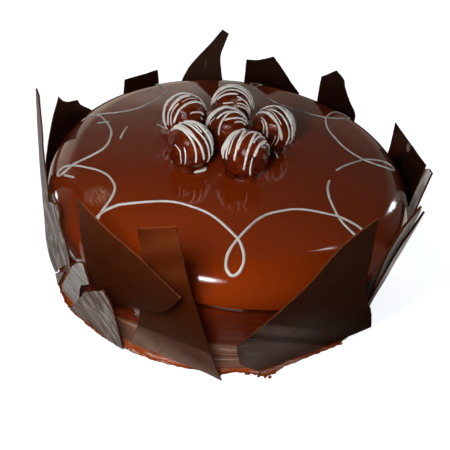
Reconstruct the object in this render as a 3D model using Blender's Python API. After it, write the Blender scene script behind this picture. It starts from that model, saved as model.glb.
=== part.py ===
"""Chocolate truffle cake.

A round cake under poured glaze, ringed by broken sheets of chocolate, with a white scroll piped
on the glaze and six drizzled truffles in the middle. Sizes are in millimetres. The origin is on
the floor under the middle of the cake, +Z is up and -Y is the front. Azimuths are in degrees,
counter-clockwise from +X.
"""

import math

import bpy
import bmesh
from mathutils import Vector

MM = 0.001
SEGMENTS = 60
GAP = 0.4

# Cake body: combed side, a foot rim squeezed out at the floor, rounded shoulder.
BODY_RADIUS = 104.4
COMB_PITCH = 5.0
COMB_DEPTH = 0.8
COMB_FROM = 4.0
COMB_TO = 59.0
RIM_HEIGHT = 2.4
RIM_RADIUS = 106.0
RIM_WAVE = 0.7
RIM_BUMPS = [(-73, 3.2, 2.6), (-88, 0.6, 3), (-110, 1.4, 8), (-48, 1.4, 5), (-63, -1.0, 4)]

# Poured glaze: outer radius, a little wider to one side, flat middle, slight dome, round shoulder.
GLAZE_RADIUS = 109.0
GLAZE_OVAL = 0.9
GLAZE_OVAL_AT = 100
GLAZE_TOP = 75.0
GLAZE_FLAT = 50.0
GLAZE_DOME = 0.6
SHOULDER = 19.8
GLAZE_INSIDE = 104.9
GLAZE_CEILING = 72.0
SHOULDER_STEPS = 5
LIP = 1.8
# Height of the lower edge of the glaze by azimuth.
LIP_HEIGHTS = [(-170, 45), (-138, 39), (-113, 32), (-95, 55), (-82, 54), (-70, 52), (-60, 50),
               (-42, 49), (-15, 46), (15, 42), (45, 50), (75, 44), (105, 52), (135, 42), (160, 50)]

# White scroll: a run of scallops joined by loops. Each joint is azimuth, radius where the run
# arrives, radius where it leaves, radius of the loop's tip, turn of the tip, half width of the
# loop. Each valley is the smallest radius of the scallop that follows, and the part that is drawn.
SCROLL_TOP = 0.85
SCROLL_OVER = 0.2
SCROLL_SUNK = 0.9
SCROLL_STEP = 3.0
SCROLL_HALF = 1.15
SCROLL_POWER = 2.6
JOINTS = [(-158, 94, 94, 102, 1.0, 2.5), (-130, 96, 84, 97.5, 0.0, 0.8),
          (-85, 79, 79, 99.5, -1.5, 4.0), (-42.5, 78, 78, 99, -1.0, 3.2),
          (3.5, 79, 79, 98, -2.5, 3.2), (41.5, 80, 80, 100, -2.0, 5.0),
          (84, 88, 88, 98, -1.0, 4.0), (128, 84, 84, 97, 1.5, 0.8),
          (167.5, 94, 88, 97, 0.0, 0.8)]
VALLEYS = [77, 62, 61, 60, 69, 70, None, 74, 74]
BREAK_AFTER = 3
BREAK = (0.47, 0.69)
# Short dashes of the same white: start and end as radius and azimuth.
DASHES = [((94, -151), (99, -155)), ((68, 171), (68, 184)), ((53, 161), (45, 164)),
          ((35, -125), (28, -120)), ((87, 173), (80, 170))]

# Truffles: x, y, radius over the drizzle, azimuth that the drizzle planes face, and each line of
# drizzle as offset of its plane (share of the radius) with the angles where it starts and ends.
DRIZZLE = 0.6
TRUFFLE_SLICES = 18
TRUFFLE_SEAT = 0.88
TRUFFLES = {
    "truffle_left": (-31.4, 9.2, 13.7, -57, [
        (-0.62, -90, 85), (-0.36, -95, 100), (-0.12, -90, 105), (0.17, -75, 125), (0.44, -75, 85),
        (0.88, -60, 32)]),
    "truffle_back": (-4.2, 27.8, 13.8, -87, [
        (-0.60, -90, 90), (-0.34, -95, 90), (-0.10, -90, 95), (0.14, -90, 85), (0.42, -80, 75),
        (0.76, -88, 5)]),
    "truffle_middle": (-5.5, 0.4, 13.2, -60, [
        (-0.60, -85, 90), (-0.34, -90, 90), (-0.08, -80, 95), (0.18, -75, 90), (0.45, -70, 90),
        (0.80, -58, 20)]),
    "truffle_right": (21.9, 7.9, 13.4, -133, [
        (-0.60, -95, 85), (-0.32, -105, 85), (-0.02, -118, 80), (0.24, -100, 80), (0.52, -120, 70),
        (0.80, -100, 20)]),
    "truffle_front_left": (-24.4, -22.0, 13.5, -126, [
        (-0.62, -95, 80), (-0.30, -112, 70), (0.00, -122, 70), (0.20, -100, 60), (0.42, -103, 55),
        (0.74, -112, -40)]),
    "truffle_front_right": (6.5, -24.0, 13.6, -33, [
        (-0.72, -85, 85), (-0.50, -80, 90), (-0.26, -80, 92), (0.02, -75, 95), (0.30, -70, 90),
        (0.64, -80, 125)]),
}

# Broken sheets of chocolate. Each stands in a plane given by the azimuth it faces, its distance
# from the middle at the floor and its lean outwards. The corners are across and up that plane.
SHEET = 1.2
SHARDS = {
    "shard_front_right": (-59.6, 103.3, 7.5, [
        (-4, 119), (-15, 107), (-24, 84), (-29, 76), (-41, 60), (-51, 49), (-46, 30), (-44, 24),
        (-30, 5), (-7, 3), (30, 3), (48, 4), (42, 17), (33, 34), (26, 44), (13, 70), (8, 86)]),
    "shard_front_panel": (-106.4, 103.3, 7.5, [
        (0, 106), (17, 115), (20, 92), (23, 72), (27, 52), (32, 29), (39, 1), (28, 3), (-16, 3),
        (-10, 21), (-6, 40), (0, 86)]),
    "shard_front_left": (-113.0, 104.6, 7.5, [
        (-12, 111), (-2, 101), (15, 90), (33, 75), (28, 65), (25, 59), (19, 53), (12, 49), (1, 44),
        (-7, 38), (-19, 46), (-20, 52), (-18, 74), (-16, 91)]),
    "shard_left_low": (-123.0, 109.2, 6.0, [
        (-29, 3), (-26, 6), (-12, 28), (-6, 38), (2, 46), (12, 55), (14, 50), (16, 42), (16, 4),
        (3, 1), (-23, 1)]),
    "shard_left_wedge": (-131.0, 108.8, 5.7, [
        (-27, 2.5), (-10, 2.5), (-8, 5), (-3, 14), (0.5, 25), (8, 41), (19, 53), (19.5, 60),
        (19.5, 69), (15, 66), (6, 56), (1, 49), (-5, 39), (-13, 27), (-24, 11)]),
    "shard_left": (-136.0, 111.5, 0.0, [
        (-21, 16), (-25, 22), (-26, 31), (-22, 52), (-15, 72), (-13, 76), (-5, 87), (-7, 79),
        (4, 84), (5, 81), (3, 70), (5, 62), (7, 54), (6, 45), (-2, 38)]),
    "shard_left_chip": (-136.0, 111.5, 0.0, [(-22, 14), (-4, 32), (-22, 3)]),
    "shard_far_left": (-149.0, 112.0, -4.0, [
        (-12, 122), (-6, 121), (-9, 100), (-12, 88), (-9, 60), (-9, 1), (-40, 1), (-36, 44),
        (-24, 93)]),
    "shard_back_left": (164.0, 108.8, 1.5, [
        (14, 86), (11, 82), (6, 79), (-4, 76), (-6, 72), (-18, 62), (-20, 4), (42, 4), (41, 22),
        (39, 40), (37, 51), (33, 60), (29, 67), (22, 77)]),
    "shard_back_low": (128.0, 105.5, 5.0, [(20, 74), (-7, 77), (-8, 40), (-6, 4), (28, 4), (26, 40)]),
    "shard_back_tall": (103.0, 105.5, 5.0, [
        (-7, 105), (-12, 102), (-9, 93), (-7, 85), (-8, 76), (-11, 60), (-14, 4), (28, 4), (24, 60),
        (18, 75), (11, 84), (2, 94)]),
    "shard_back_wide": (74.0, 105.5, 5.0, [
        (31, 83), (21, 85), (10, 90), (0, 81), (-7, 74), (-15, 67), (-18, 4), (28, 4)]),
    "shard_back_right": (49.0, 105.5, 5.0, [
        (21, 84), (10, 93), (2, 89), (-1, 84), (-7, 77), (-16, 67), (-17, 4), (12, 4)]),
    "shard_right": (10.0, 106.5, 4.0, [
        (29, 80), (22, 62), (17, 4), (-13, 4), (-17, 51), (-25, 51), (-21, 80)]),
    "shard_right_outer": (-10.0, 110.5, 3.0, [
        (17, 79), (8, 82), (2, 52), (-1, 20), (2, 1), (26, 1), (28, 30), (26, 54),
        (27, 71)]),
    "shard_low_right": (-37.0, 105.8, 3.5, [
        (-3, 4), (-4, 31), (-12, 55), (-20, 78), (-19, 97), (-4, 101), (2, 92), (5, 70), (8, 40),
        (14, 4)]),
    "shard_low_right_outer": (-37.0, 107.5, 3.5, [
        (-4, 4), (-9, 28), (-12, 64), (-10, 80), (-4, 86), (2, 95), (3, 80), (0, 60), (0, 30),
        (4, 4)]),
    "shard_side_right": (-21.0, 105.6, 5.0, [
        (-13, 4), (-12, 34), (-4, 46), (5, 41), (13, 50), (15, 4)]),
    "shard_back_1": (32.0, 105.5, 5.0, [(-10, 4), (-9, 44), (-2, 57), (10, 48), (11, 4)]),
    "shard_back_2": (61.0, 109.8, 5.0, [(-15, 1), (-13, 33), (4, 58), (11, 49), (14, 1)]),
    "shard_back_3": (92.0, 112.2, 4.0, [(-15, 1), (-11, 49), (-2, 56), (14, 38), (13, 1)]),
    "shard_back_4": (121.0, 112.2, 4.0, [(-14, 1), (-15, 36), (2, 52), (12, 47), (15, 1)]),
    "shard_back_5": (148.5, 113.2, 4.0, [(-13, 1), (-10, 52), (3, 57), (13, 42), (15, 1)]),
    "shard_back_6": (186.0, 105.6, 5.0, [(-9, 4), (-8, 47), (1, 58), (7, 45), (7, 4)]),
}

# Colours of the parts, linear.
MATERIALS = {
    "cake": ((0.10, 0.03, 0.01), 0.45),
    "glaze": ((0.16, 0.03, 0.006), 0.12),
    "truffle": ((0.12, 0.025, 0.008), 0.25),
    "shard": ((0.02, 0.01, 0.006), 0.35),
}


def clear_scene():
    """Remove every object that is in the scene."""
    for item in list(bpy.data.objects):
        bpy.data.objects.remove(item, do_unlink=True)


def material(kind):
    """Return the plain material of one kind of part."""
    name = "part_" + kind
    found = bpy.data.materials.get(name)
    if found:
        return found
    colour, roughness = MATERIALS[kind]
    made = bpy.data.materials.new(name)
    made.use_nodes = True
    shader = made.node_tree.nodes["Principled BSDF"]
    shader.inputs["Base Color"].default_value = (*colour, 1.0)
    shader.inputs["Roughness"].default_value = roughness
    return made


def make_object(name, points, faces, kind, smooth=True):
    """Make a closed object from points in millimetres and faces, normals outwards."""
    mesh = bpy.data.meshes.new(name)
    mesh.from_pydata([Vector(p) * MM for p in points], [], faces)
    bm = bmesh.new()
    bm.from_mesh(mesh)
    bmesh.ops.recalc_face_normals(bm, faces=bm.faces)
    bm.to_mesh(mesh)
    bm.free()
    made = bpy.data.objects.new(name, mesh)
    bpy.context.scene.collection.objects.link(made)
    mesh.materials.append(material(kind))
    if smooth:
        mesh.shade_smooth()
        mesh.set_sharp_from_angle(angle=math.radians(40))
    return made


def turned(radius, azimuth, height):
    """Return the point at a radius, an azimuth in degrees and a height."""
    angle = math.radians(azimuth)
    return Vector((radius * math.cos(angle), radius * math.sin(angle), height))


def angle_between(a, b):
    """Return how far azimuth a is past azimuth b, within half a turn."""
    return (a - b + 180.0) % 360.0 - 180.0


def pressed(radius, azimuth, height):
    """Return the radius, less where a sheet is pressed into the side."""
    result = radius
    for face, distance, lean, corners in SHARDS.values():
        turn = angle_between(azimuth, face)
        if abs(turn) > 35:
            continue
        slope = math.radians(lean)
        across = distance * math.tan(math.radians(turn))
        along = height / math.cos(slope)
        wide = [u for u, v in corners]
        tall = [v for u, v in corners]
        if not min(wide) - 8 < across < max(wide) + 8:
            continue
        if not min(tall) - 3 < along < max(tall) + 3:
            continue
        room = (SHEET / 2 + GAP) / math.cos(slope)
        flat = (distance + height * math.tan(slope) - room) / math.cos(math.radians(turn))
        result = min(result, flat)
    return result


def lip_height(azimuth):
    """Return the height of the lower edge of the glaze, eased between the given heights."""
    table = LIP_HEIGHTS + [(LIP_HEIGHTS[0][0] + 360, LIP_HEIGHTS[0][1])]
    at = (azimuth - table[0][0]) % 360 + table[0][0]
    for (a, low), (b, high) in zip(table, table[1:]):
        if a <= at <= b:
            share = (1 - math.cos(math.pi * (at - a) / (b - a))) / 2
            return low + (high - low) * share
    return table[0][1]


def rim_radius(azimuth):
    """Return the uneven radius of the foot rim."""
    wave = math.sin(math.radians(5 * azimuth)) + math.sin(math.radians(11 * azimuth + 40))
    radius = RIM_RADIUS + RIM_WAVE * wave / 2
    for at, height, width in RIM_BUMPS:
        radius += height * math.exp(-(angle_between(azimuth, at) / width) ** 2)
    return radius


def glaze_radius(azimuth):
    """Return the radius of the glaze's side."""
    return GLAZE_RADIUS + GLAZE_OVAL * math.cos(math.radians(azimuth - GLAZE_OVAL_AT))


def revolve(rings, close_bottom, close_top):
    """Join rings of points, each SEGMENTS long, and cap the first or last with one flat face."""
    points = [p for ring in rings for p in ring]
    faces = []
    for k in range(len(rings) - 1):
        for i in range(SEGMENTS):
            j = (i + 1) % SEGMENTS
            a = k * SEGMENTS
            b = a + SEGMENTS
            faces.append((a + i, a + j, b + j, b + i))
    if close_bottom:
        faces.append(tuple(reversed(range(SEGMENTS))))
    if close_top:
        last = (len(rings) - 1) * SEGMENTS
        faces.append(tuple(range(last, last + SEGMENTS)))
    return points, faces


def azimuths():
    """Return the azimuths of the ring points."""
    return [360.0 * i / SEGMENTS for i in range(SEGMENTS)]


def build_cake():
    """Build the cake body with its combed side and foot rim."""
    rings = []
    for height, less in ((0.0, 0.7), (0.7, 0.0), (1.8, 0.2)):
        rings.append([turned(rim_radius(a) - less, a, height) for a in azimuths()])
    side = BODY_RADIUS - COMB_DEPTH
    rings.append([turned(pressed(side, a, RIM_HEIGHT), a, RIM_HEIGHT) for a in azimuths()])
    ridges = round((COMB_TO - COMB_FROM) / COMB_PITCH)
    for k in range(ridges):
        for share, deep in ((0.25, 0.0), (0.75, 1.0)):
            z = COMB_FROM + (k + share) * COMB_PITCH
            radius = BODY_RADIUS - COMB_DEPTH * deep
            if z > GLAZE_TOP - SHOULDER:
                radius = BODY_RADIUS - COMB_DEPTH
            rings.append([turned(pressed(radius, a, z), a, z) for a in azimuths()])
    centre_r = GLAZE_INSIDE - (SHOULDER - 3.3)
    centre_z = GLAZE_CEILING - (SHOULDER - 3.3)
    bend = SHOULDER - 3.3 - GAP
    for k in range(1, SHOULDER_STEPS + 1):
        angle = math.radians(90.0 * k / SHOULDER_STEPS)
        radius = centre_r + bend * math.cos(angle)
        z = centre_z + bend * math.sin(angle)
        if z > COMB_TO:
            rings.append([turned(radius, a, z) for a in azimuths()])
    points, faces = revolve(rings, True, True)
    return make_object("cake", points, faces, "cake")


def glaze_surface(radius, side=GLAZE_RADIUS):
    """Return height and outward tilt in radians of the glaze's top at a radius."""
    start = side - SHOULDER
    if radius <= GLAZE_FLAT:
        return GLAZE_TOP, 0.0
    if radius <= start:
        share = (radius - GLAZE_FLAT) / (start - GLAZE_FLAT)
        return GLAZE_TOP - GLAZE_DOME * share * share, 0.02 * share
    tilt = math.asin(min(1.0, (radius - start) / SHOULDER))
    return GLAZE_TOP - GLAZE_DOME - SHOULDER * (1 - math.cos(tilt)), tilt


def build_glaze():
    """Build the poured glaze: top, round shoulder, uneven lip and the inside over the cake."""
    top = GLAZE_TOP - GLAZE_DOME
    rings = []
    centre_r = GLAZE_INSIDE - (SHOULDER - 3.3)
    centre_z = GLAZE_CEILING - (SHOULDER - 3.3)
    bend = SHOULDER - 3.3
    for k in range(SHOULDER_STEPS, 0, -1):
        angle = math.radians(90.0 * k / SHOULDER_STEPS)
        radius = centre_r + bend * math.cos(angle)
        z = centre_z + bend * math.sin(angle)
        if z > COMB_TO + 1.5:
            rings.append([turned(radius, a, z) for a in azimuths()])
    inner_side = []
    lip_inner = []
    lip_low = []
    lip_outer = []
    side_mid = []
    for a in azimuths():
        low = lip_height(a)
        outer = glaze_radius(a)
        edge = pressed(outer, a, low + LIP)
        middle = (low + LIP + top - SHOULDER * 0.69) / 2
        inner_side.append(turned(GLAZE_INSIDE, a, max(low + 0.9, min(centre_z, low + 12))))
        lip_inner.append(turned(GLAZE_INSIDE, a, low + 0.5))
        lip_low.append(turned((GLAZE_INSIDE + edge) / 2 + 0.4, a, low))
        lip_outer.append(turned(edge, a, low + LIP))
        side_mid.append(turned(pressed(outer, a, middle), a, middle))
    rings += [inner_side, lip_inner, lip_low, lip_outer, side_mid]
    for k in range(1, SHOULDER_STEPS + 1):
        tilt = math.radians(90.0 * k / SHOULDER_STEPS)
        z = top - SHOULDER * (1 - math.sin(tilt))
        if k == 1:
            continue
        ring = []
        for a in azimuths():
            radius = glaze_radius(a) - SHOULDER * (1 - math.cos(tilt))
            ring.append(turned(pressed(radius, a, z), a, z))
        rings.append(ring)
    for radius in (76.0, 64.0, GLAZE_FLAT):
        z = glaze_surface(radius)[0]
        rings.append([turned(radius, a, z) for a in azimuths()])
    points, faces = revolve(rings, False, True)
    faces.append(tuple(range(SEGMENTS)))
    return make_object("glaze", points, faces, "glaze")


def loop_half(joint, leaving, steps):
    """Return half of a joint's loop as radius and azimuth, from crossing to tip or back."""
    at, arrive, leave, tip, turn, half = joint
    cross = leave if leaving else arrive
    run = []
    for k in range(steps + 1):
        share = k / steps
        t = math.pi * (1 + share) if leaving else math.pi * share
        reach = (1 - math.cos(t)) / 2
        radius = cross + (tip - cross) * reach
        aside = half * math.sin(t) * math.sin(t / 2) / 0.77
        run.append((radius, at + turn * reach + math.degrees(aside / radius)))
    return run


def scallop(joint, following, valley, first=0.0, last=1.0, steps=10):
    """Return the scallop between two joints as radius and azimuth."""
    start = joint[0]
    end = following[0] + (360 if following[0] < start else 0)
    run = []
    for k in range(steps + 1):
        t = first + (last - first) * k / steps
        rim = joint[2] if t < 0.5 else following[1]
        radius = valley + (rim - valley) * abs(2 * t - 1) ** SCROLL_POWER
        run.append((radius, start + (end - start) * t))
    return run


def thinned(run):
    """Return the run without points that lie closer together than SCROLL_STEP."""
    kept = [run[0]]
    for point in run[1:]:
        if (turned(*point, 0) - turned(*kept[-1], 0)).length >= SCROLL_STEP:
            kept.append(point)
    end = turned(*run[-1], 0)
    if len(kept) > 2 and (end - turned(*kept[-1], 0)).length < SCROLL_STEP * 0.6:
        kept.pop()
    if kept[-1] != run[-1]:
        kept.append(run[-1])
    return kept


def strand(name, run, taper_end=False, over=0.0):
    """Lay one strand of the scroll on the glaze along a run of radius and azimuth."""
    places = []
    normals = []
    for radius, azimuth in thinned(run):
        side = glaze_radius(azimuth)
        z, tilt = glaze_surface(radius, side)
        places.append(turned(radius, azimuth, z))
        normals.append(turned(math.sin(tilt), azimuth, math.cos(tilt)))
    points = []
    for k, place in enumerate(places):
        before = places[max(k - 1, 0)]
        after = places[min(k + 1, len(places) - 1)]
        along = (after - before).normalized()
        across = along.cross(normals[k]).normalized()
        size = 0.5 if taper_end and k == len(places) - 1 else 1.0
        for wide, high in ((-1.0, -SCROLL_SUNK), (1.0, -SCROLL_SUNK),
                           (0.62, (SCROLL_TOP + over) * size), (-0.62, (SCROLL_TOP + over) * size)):
            points.append(place + across * (wide * SCROLL_HALF * size) + normals[k] * high)
    faces = [(0, 1, 2, 3)]
    for k in range(len(places) - 1):
        a = 4 * k
        for i in range(4):
            j = (i + 1) % 4
            faces.append((a + i, a + 4 + i, a + 4 + j, a + j))
    last = 4 * (len(places) - 1)
    faces.append((last + 3, last + 2, last + 1, last))
    return make_object(name, points, faces, "glaze")


def past_tip(run, joint, side):
    """Return one more point just past the tip of a loop, so that two strands overlap there."""
    at, arrive, leave, tip, turn, half = joint
    return (tip - 0.3, at + turn + math.degrees(side * 0.8 / tip))


def scroll_runs():
    """Return every strand of the scroll as a run of radius and azimuth, with its end tapered."""
    runs = []
    count = len(JOINTS)
    for k, joint in enumerate(JOINTS):
        following = JOINTS[(k + 1) % count]
        valley = VALLEYS[k]
        loop_out = loop_half(joint, True, 6)
        loop_in = loop_half(following, False, 6)
        if valley is None:
            runs.append((loop_out, False))
            continue
        if k == BREAK_AFTER:
            runs.append((loop_out[:-1] + scallop(joint, following, valley, 0, BREAK[0], 6), False))
            head = scallop(joint, following, valley, BREAK[1], 1, 4)
            runs.append((head + loop_in[1:] + [past_tip(loop_in, following, -1)], True))
            continue
        middle = scallop(joint, following, valley)
        start = loop_out if joint[0] != 128 else loop_out[1:]
        end = loop_in[1:] + [past_tip(loop_in, following, -1)]
        runs.append((start[:-1] + middle + end, True))
    for (r0, a0), (r1, a1) in DASHES:
        runs.append(([(r0 + (r1 - r0) * t, a0 + (a1 - a0) * t) for t in (0, 0.33, 0.67, 1)], True))
    return runs


def join(target, pieces):
    """Fuse the pieces to the target by one union, then remove them."""
    group = bpy.data.collections.new("joined")
    bpy.context.scene.collection.children.link(group)
    for piece in pieces:
        bpy.context.scene.collection.objects.unlink(piece)
        group.objects.link(piece)
    union = target.modifiers.new("union", "BOOLEAN")
    union.operation = "UNION"
    union.operand_type = "COLLECTION"
    union.solver = "EXACT"
    union.collection = group
    bpy.context.view_layer.objects.active = target
    bpy.ops.object.modifier_apply(modifier=union.name)
    for piece in pieces:
        bpy.data.objects.remove(piece, do_unlink=True)
    bpy.data.collections.remove(group)


def tidy_mesh(item, distance=0.02):
    """Merge points that nearly meet and drop slivers."""
    bm = bmesh.new()
    bm.from_mesh(item.data)
    bmesh.ops.remove_doubles(bm, verts=bm.verts, dist=distance * MM)
    bmesh.ops.dissolve_degenerate(bm, edges=bm.edges, dist=0.005 * MM)
    bm.to_mesh(item.data)
    bm.free()


def build_truffle(name, x, y, radius, face, lines):
    """Build one truffle: a ball with a flat seat and raised lines of drizzle."""
    seat = GLAZE_TOP + 0.3
    centre = Vector((x, y, seat + TRUFFLE_SEAT * radius))
    axis = turned(1.0, face, 0.0)
    up = Vector((0.0, 0.0, 1.0))
    aside = axis.cross(up)
    plain = radius - DRIZZLE
    offsets = sorted(lines, reverse=True)
    rings = [((offsets[0][0] + 1.0) / 2 + 0.02, None)]
    for k, line in enumerate(offsets):
        rings.append((line[0], line))
        following = offsets[k + 1][0] if k + 1 < len(offsets) else -1.0
        rings.append(((line[0] + following) / 2, None))
    points = [centre + axis * plain]
    for offset, line in rings:
        across = math.sqrt(1.0 - offset * offset)
        for i in range(TRUFFLE_SLICES):
            angle = 360.0 * i / TRUFFLE_SLICES - 180.0
            raised = line is not None and line[1] <= angle <= line[2]
            size = radius if raised else plain
            turn = math.radians(angle)
            ray = axis * offset + (up * math.cos(turn) + aside * math.sin(turn)) * across
            point = centre + ray * size
            point.z = max(point.z, seat)
            points.append(point)
    points.append(centre - axis * plain)
    last = len(points) - 1
    faces = []
    for i in range(TRUFFLE_SLICES):
        j = (i + 1) % TRUFFLE_SLICES
        faces.append((0, 1 + i, 1 + j))
        for k in range(len(rings) - 1):
            a = 1 + k * TRUFFLE_SLICES
            b = a + TRUFFLE_SLICES
            faces.append((a + i, b + i, b + j, a + j))
        a = 1 + (len(rings) - 1) * TRUFFLE_SLICES
        faces.append((last, a + j, a + i))
    return make_object(name, points, faces, "truffle")


def build_shard(name, face, distance, lean, corners):
    """Build one broken sheet of chocolate standing in its plane."""
    angle = math.radians(face)
    slope = math.radians(lean)
    out = Vector((math.cos(angle), math.sin(angle), 0.0))
    across = Vector((-math.sin(angle), math.cos(angle), 0.0))
    rise = out * math.sin(slope) + Vector((0.0, 0.0, math.cos(slope)))
    normal = out * math.cos(slope) - Vector((0.0, 0.0, math.sin(slope)))
    points = []
    for side in (-0.5, 0.5):
        for u, v in corners:
            points.append(out * distance + across * u + rise * v + normal * (side * SHEET))
    count = len(corners)
    faces = [tuple(reversed(range(count))), tuple(range(count, 2 * count))]
    for i in range(count):
        j = (i + 1) % count
        faces.append((i, j, count + j, count + i))
    return make_object(name, points, faces, "shard", smooth=False)


def main():
    """Build the whole cake."""
    clear_scene()
    build_cake()
    glaze = build_glaze()
    strands = []
    for k, (run, tapered) in enumerate(scroll_runs()):
        strands.append(strand("strand_%d" % k, run, tapered, SCROLL_OVER * (k % 2)))
    join(glaze, strands)
    tidy_mesh(glaze, 0.001)
    for name, (x, y, radius, face, lines) in TRUFFLES.items():
        build_truffle(name, x, y, radius, face, lines)
    for name, (face, distance, lean, corners) in SHARDS.items():
        build_shard(name, face, distance, lean, corners)


main()
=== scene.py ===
"""Finish of the chocolate truffle cake.

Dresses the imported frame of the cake: combed ganache side, poured mirror glaze, piped white scroll,
six drizzled truffles and a ring of broken chocolate sheets. Sizes are in millimetres unless a
property says otherwise. The origin is on the floor under the middle of the cake, +Z is up and -Y is
the front. Azimuths are in degrees, counter-clockwise from +X.
"""

import math

import bmesh
import bpy
from mathutils import Matrix, Vector, geometry, noise


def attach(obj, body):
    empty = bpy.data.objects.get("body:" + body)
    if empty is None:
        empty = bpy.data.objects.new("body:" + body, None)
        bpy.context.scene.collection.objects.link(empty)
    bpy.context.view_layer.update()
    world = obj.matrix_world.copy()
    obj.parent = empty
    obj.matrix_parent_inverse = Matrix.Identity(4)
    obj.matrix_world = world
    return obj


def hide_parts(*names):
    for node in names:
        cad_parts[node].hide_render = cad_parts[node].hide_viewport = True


bl_info = {
    "name": "Chocolate Truffle Cake",
    "version": (1, 0, 0),
    "blender": (4, 5, 0),
    "location": "3D View > Sidebar > Truffle Cake",
    "description": "Glaze, scroll, truffles and broken chocolate sheets of a round cake",
    "category": "Object",
}

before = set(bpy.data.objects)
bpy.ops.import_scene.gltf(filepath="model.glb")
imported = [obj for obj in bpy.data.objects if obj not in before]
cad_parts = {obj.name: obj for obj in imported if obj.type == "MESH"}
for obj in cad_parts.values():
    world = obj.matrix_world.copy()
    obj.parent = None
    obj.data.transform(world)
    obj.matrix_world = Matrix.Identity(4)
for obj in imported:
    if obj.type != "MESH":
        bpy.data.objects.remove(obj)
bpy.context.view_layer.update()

MM = 0.001

# Cake body under the glaze.
BODY_RADIUS = 104.4
COMB_FROM = 3.0
COMB_TO = 59.0
# Outer edge of what is pressed out at the foot: azimuth and radius.
FOOT = [(-180, 106.5), (-160, 109), (-148, 113.5), (-141, 114), (-137, 113.5), (-131, 111.5),
        (-125, 110.5), (-119, 109.5), (-113, 108), (-107, 107), (-95, 106), (-90, 105.5),
        (-85, 106.5), (-82, 105.5), (-78, 106), (-76, 107.5), (-74, 109), (-72, 109), (-70, 107.5),
        (-66, 105.5), (-58, 105), (-53, 106), (-48, 107.5), (-44, 107.5), (-38, 106),
        (-20, 105.5), (0, 106.5), (20, 106), (45, 106.5), (70, 105.5), (95, 106.5), (120, 105.5),
        (150, 106.5)]
# Where a sheet is pressed in, the side and the glaze stay this far behind its middle plane, over a
# reach round it in degrees, and this far past its ends across and up.
PRESSED_GAP = 1.0
PRESSED_TURN = 35
PRESSED_ACROSS = 8
PRESSED_UP = 3
# Section of the foot: height, and share of the way in from the outer edge to the side.
FOOT_PROFILE = ((0.0, 0.10), (0.3, 0.02), (0.8, 0.0), (1.3, 0.06), (1.8, 0.2), (2.2, 0.42),
                (2.6, 0.75))
# Humps round the side, as azimuth and width in degrees and height in millimetres: where the comb
# lines reach higher, and where the side bulges out.
COMB_HIGHER = (-120, 9.0, 12)
BULGE = (-131, 17.0, 4.2)
# Azimuth and radius of the larger blobs that are pressed out at the front.
BLOBS = ((-73.6, 109.4), (-72.4, 110.2), (-75.4, 108.6), (-86.4, 107.3), (-47, 107.8),
         (-78.6, 107.0), (-71.2, 108.4))
SIDE_SEGMENTS = 400

# Poured glaze. Its radius grows by the oval towards one azimuth, its top is flat out to a radius and
# falls by the dome from there, and the side is drawn in by the taper at the lip.
GLAZE_RADIUS = 109.0
GLAZE_OVAL = 0.9
GLAZE_OVAL_AT = 100
GLAZE_TOP = 75.0
GLAZE_FLAT = 50.0
GLAZE_DOME = 0.6
SHOULDER = 19.8
GLAZE_INSIDE = 104.9
GLAZE_CEILING = 72.0
INSIDE_BEND = SHOULDER - 3.3
LIP = 1.8
TAPER = 1.5
# Azimuth and lowest height of the lip.
LIP_HEIGHTS = [(-170, 45), (-138, 39), (-113, 32), (-95, 55), (-82, 54), (-70, 52), (-60, 50),
               (-42, 49), (-15, 46), (15, 42), (45, 50), (75, 44), (105, 52), (135, 42), (160, 50)]
# Section of the lip: share of the way from the inside to the outer edge, and height over the
# lowest point.
LIP_PROFILE = ((0.0, 0.7), (0.22, 0.15), (0.5, 0.0), (0.78, 0.15), (0.94, 0.6), (1.0, 1.2),
               (1.0, LIP))
# Points round the glaze, rings on its side and shoulder, and distance of the rings on its top.
GLAZE_SEGMENTS = 480
SIDE_STEPS = 14
SHOULDER_STEPS = 30
TOP_STEP = 1.25
# Heights between which the glaze turns from its thick to its thin colour. The warmer shoulder is
# partly thin glaze and partly painted light, as the shoulder is lit brighter.
THIN_FROM = 74.2
THIN_TO = 62.0
# Spots where the glaze was touched, as middle and radius, and the turn in degrees and the size of
# the wrinkles in the first.
TOUCHED = (((-66.0, -59.0, 74.5), 9.5), ((90.0, -36.0, 72.7), 12.0))
WRINKLE_TURN = -50
WRINKLE_SIZE = (6.0, 0.9, 6.0)

# White scroll: azimuth of each joint, radius where the run arrives and leaves, radius of the
# loop's tip, turn of the tip and half width of the loop. Valleys are the smallest radii between.
JOINTS = [(-158, 94, 94, 102, 1.0, 2.5), (-130, 96, 84, 97.5, 0.0, 0.8),
          (-85, 79, 79, 99.5, -1.5, 4.0), (-42.5, 78, 78, 99, -1.0, 3.2),
          (3.5, 79, 79, 98, -2.5, 3.2), (41.5, 80, 80, 100, -2.0, 5.0),
          (84, 88, 88, 98, -1.0, 4.0), (128, 84, 84, 97, 1.5, 0.8),
          (167.5, 94, 88, 97, 0.0, 0.8)]
VALLEYS = [77, 62, 61, 60, 69, 70, None, 74, 74]
# How sharply a scallop turns up to its joints, and the joint after which the line is broken, with
# the shares of the scallop between which nothing is piped.
SCROLL_POWER = 2.6
BREAK_AFTER = 3
BREAK = (0.47, 0.69)
# Dashes: radius and azimuth of both ends. Each is laid through four points.
DASH_POINTS = 4
DASHES = [((94, -151), (99, -155)), ((68, 171), (68, 184)), ((53, 161), (45, 164)),
          ((35, -125), (28, -120)), ((87, 173), (80, 170)),
          ((98.3, 171.9), (95.9, 169.2))]

# Height that the truffles stand at, share of the radius from there to the middle, how far the
# drizzle lies over the coat, and height over the seat of the neck between ball and foot.
SEAT = GLAZE_TOP + 0.3
SEAT_SHARE = 0.88
DRIZZLE = 0.6
NECK = 3.0
BALL_SEGMENTS = 96
BALL_RINGS = 46
# Sides of a piped line.
LINE_SIDES = 12
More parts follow.
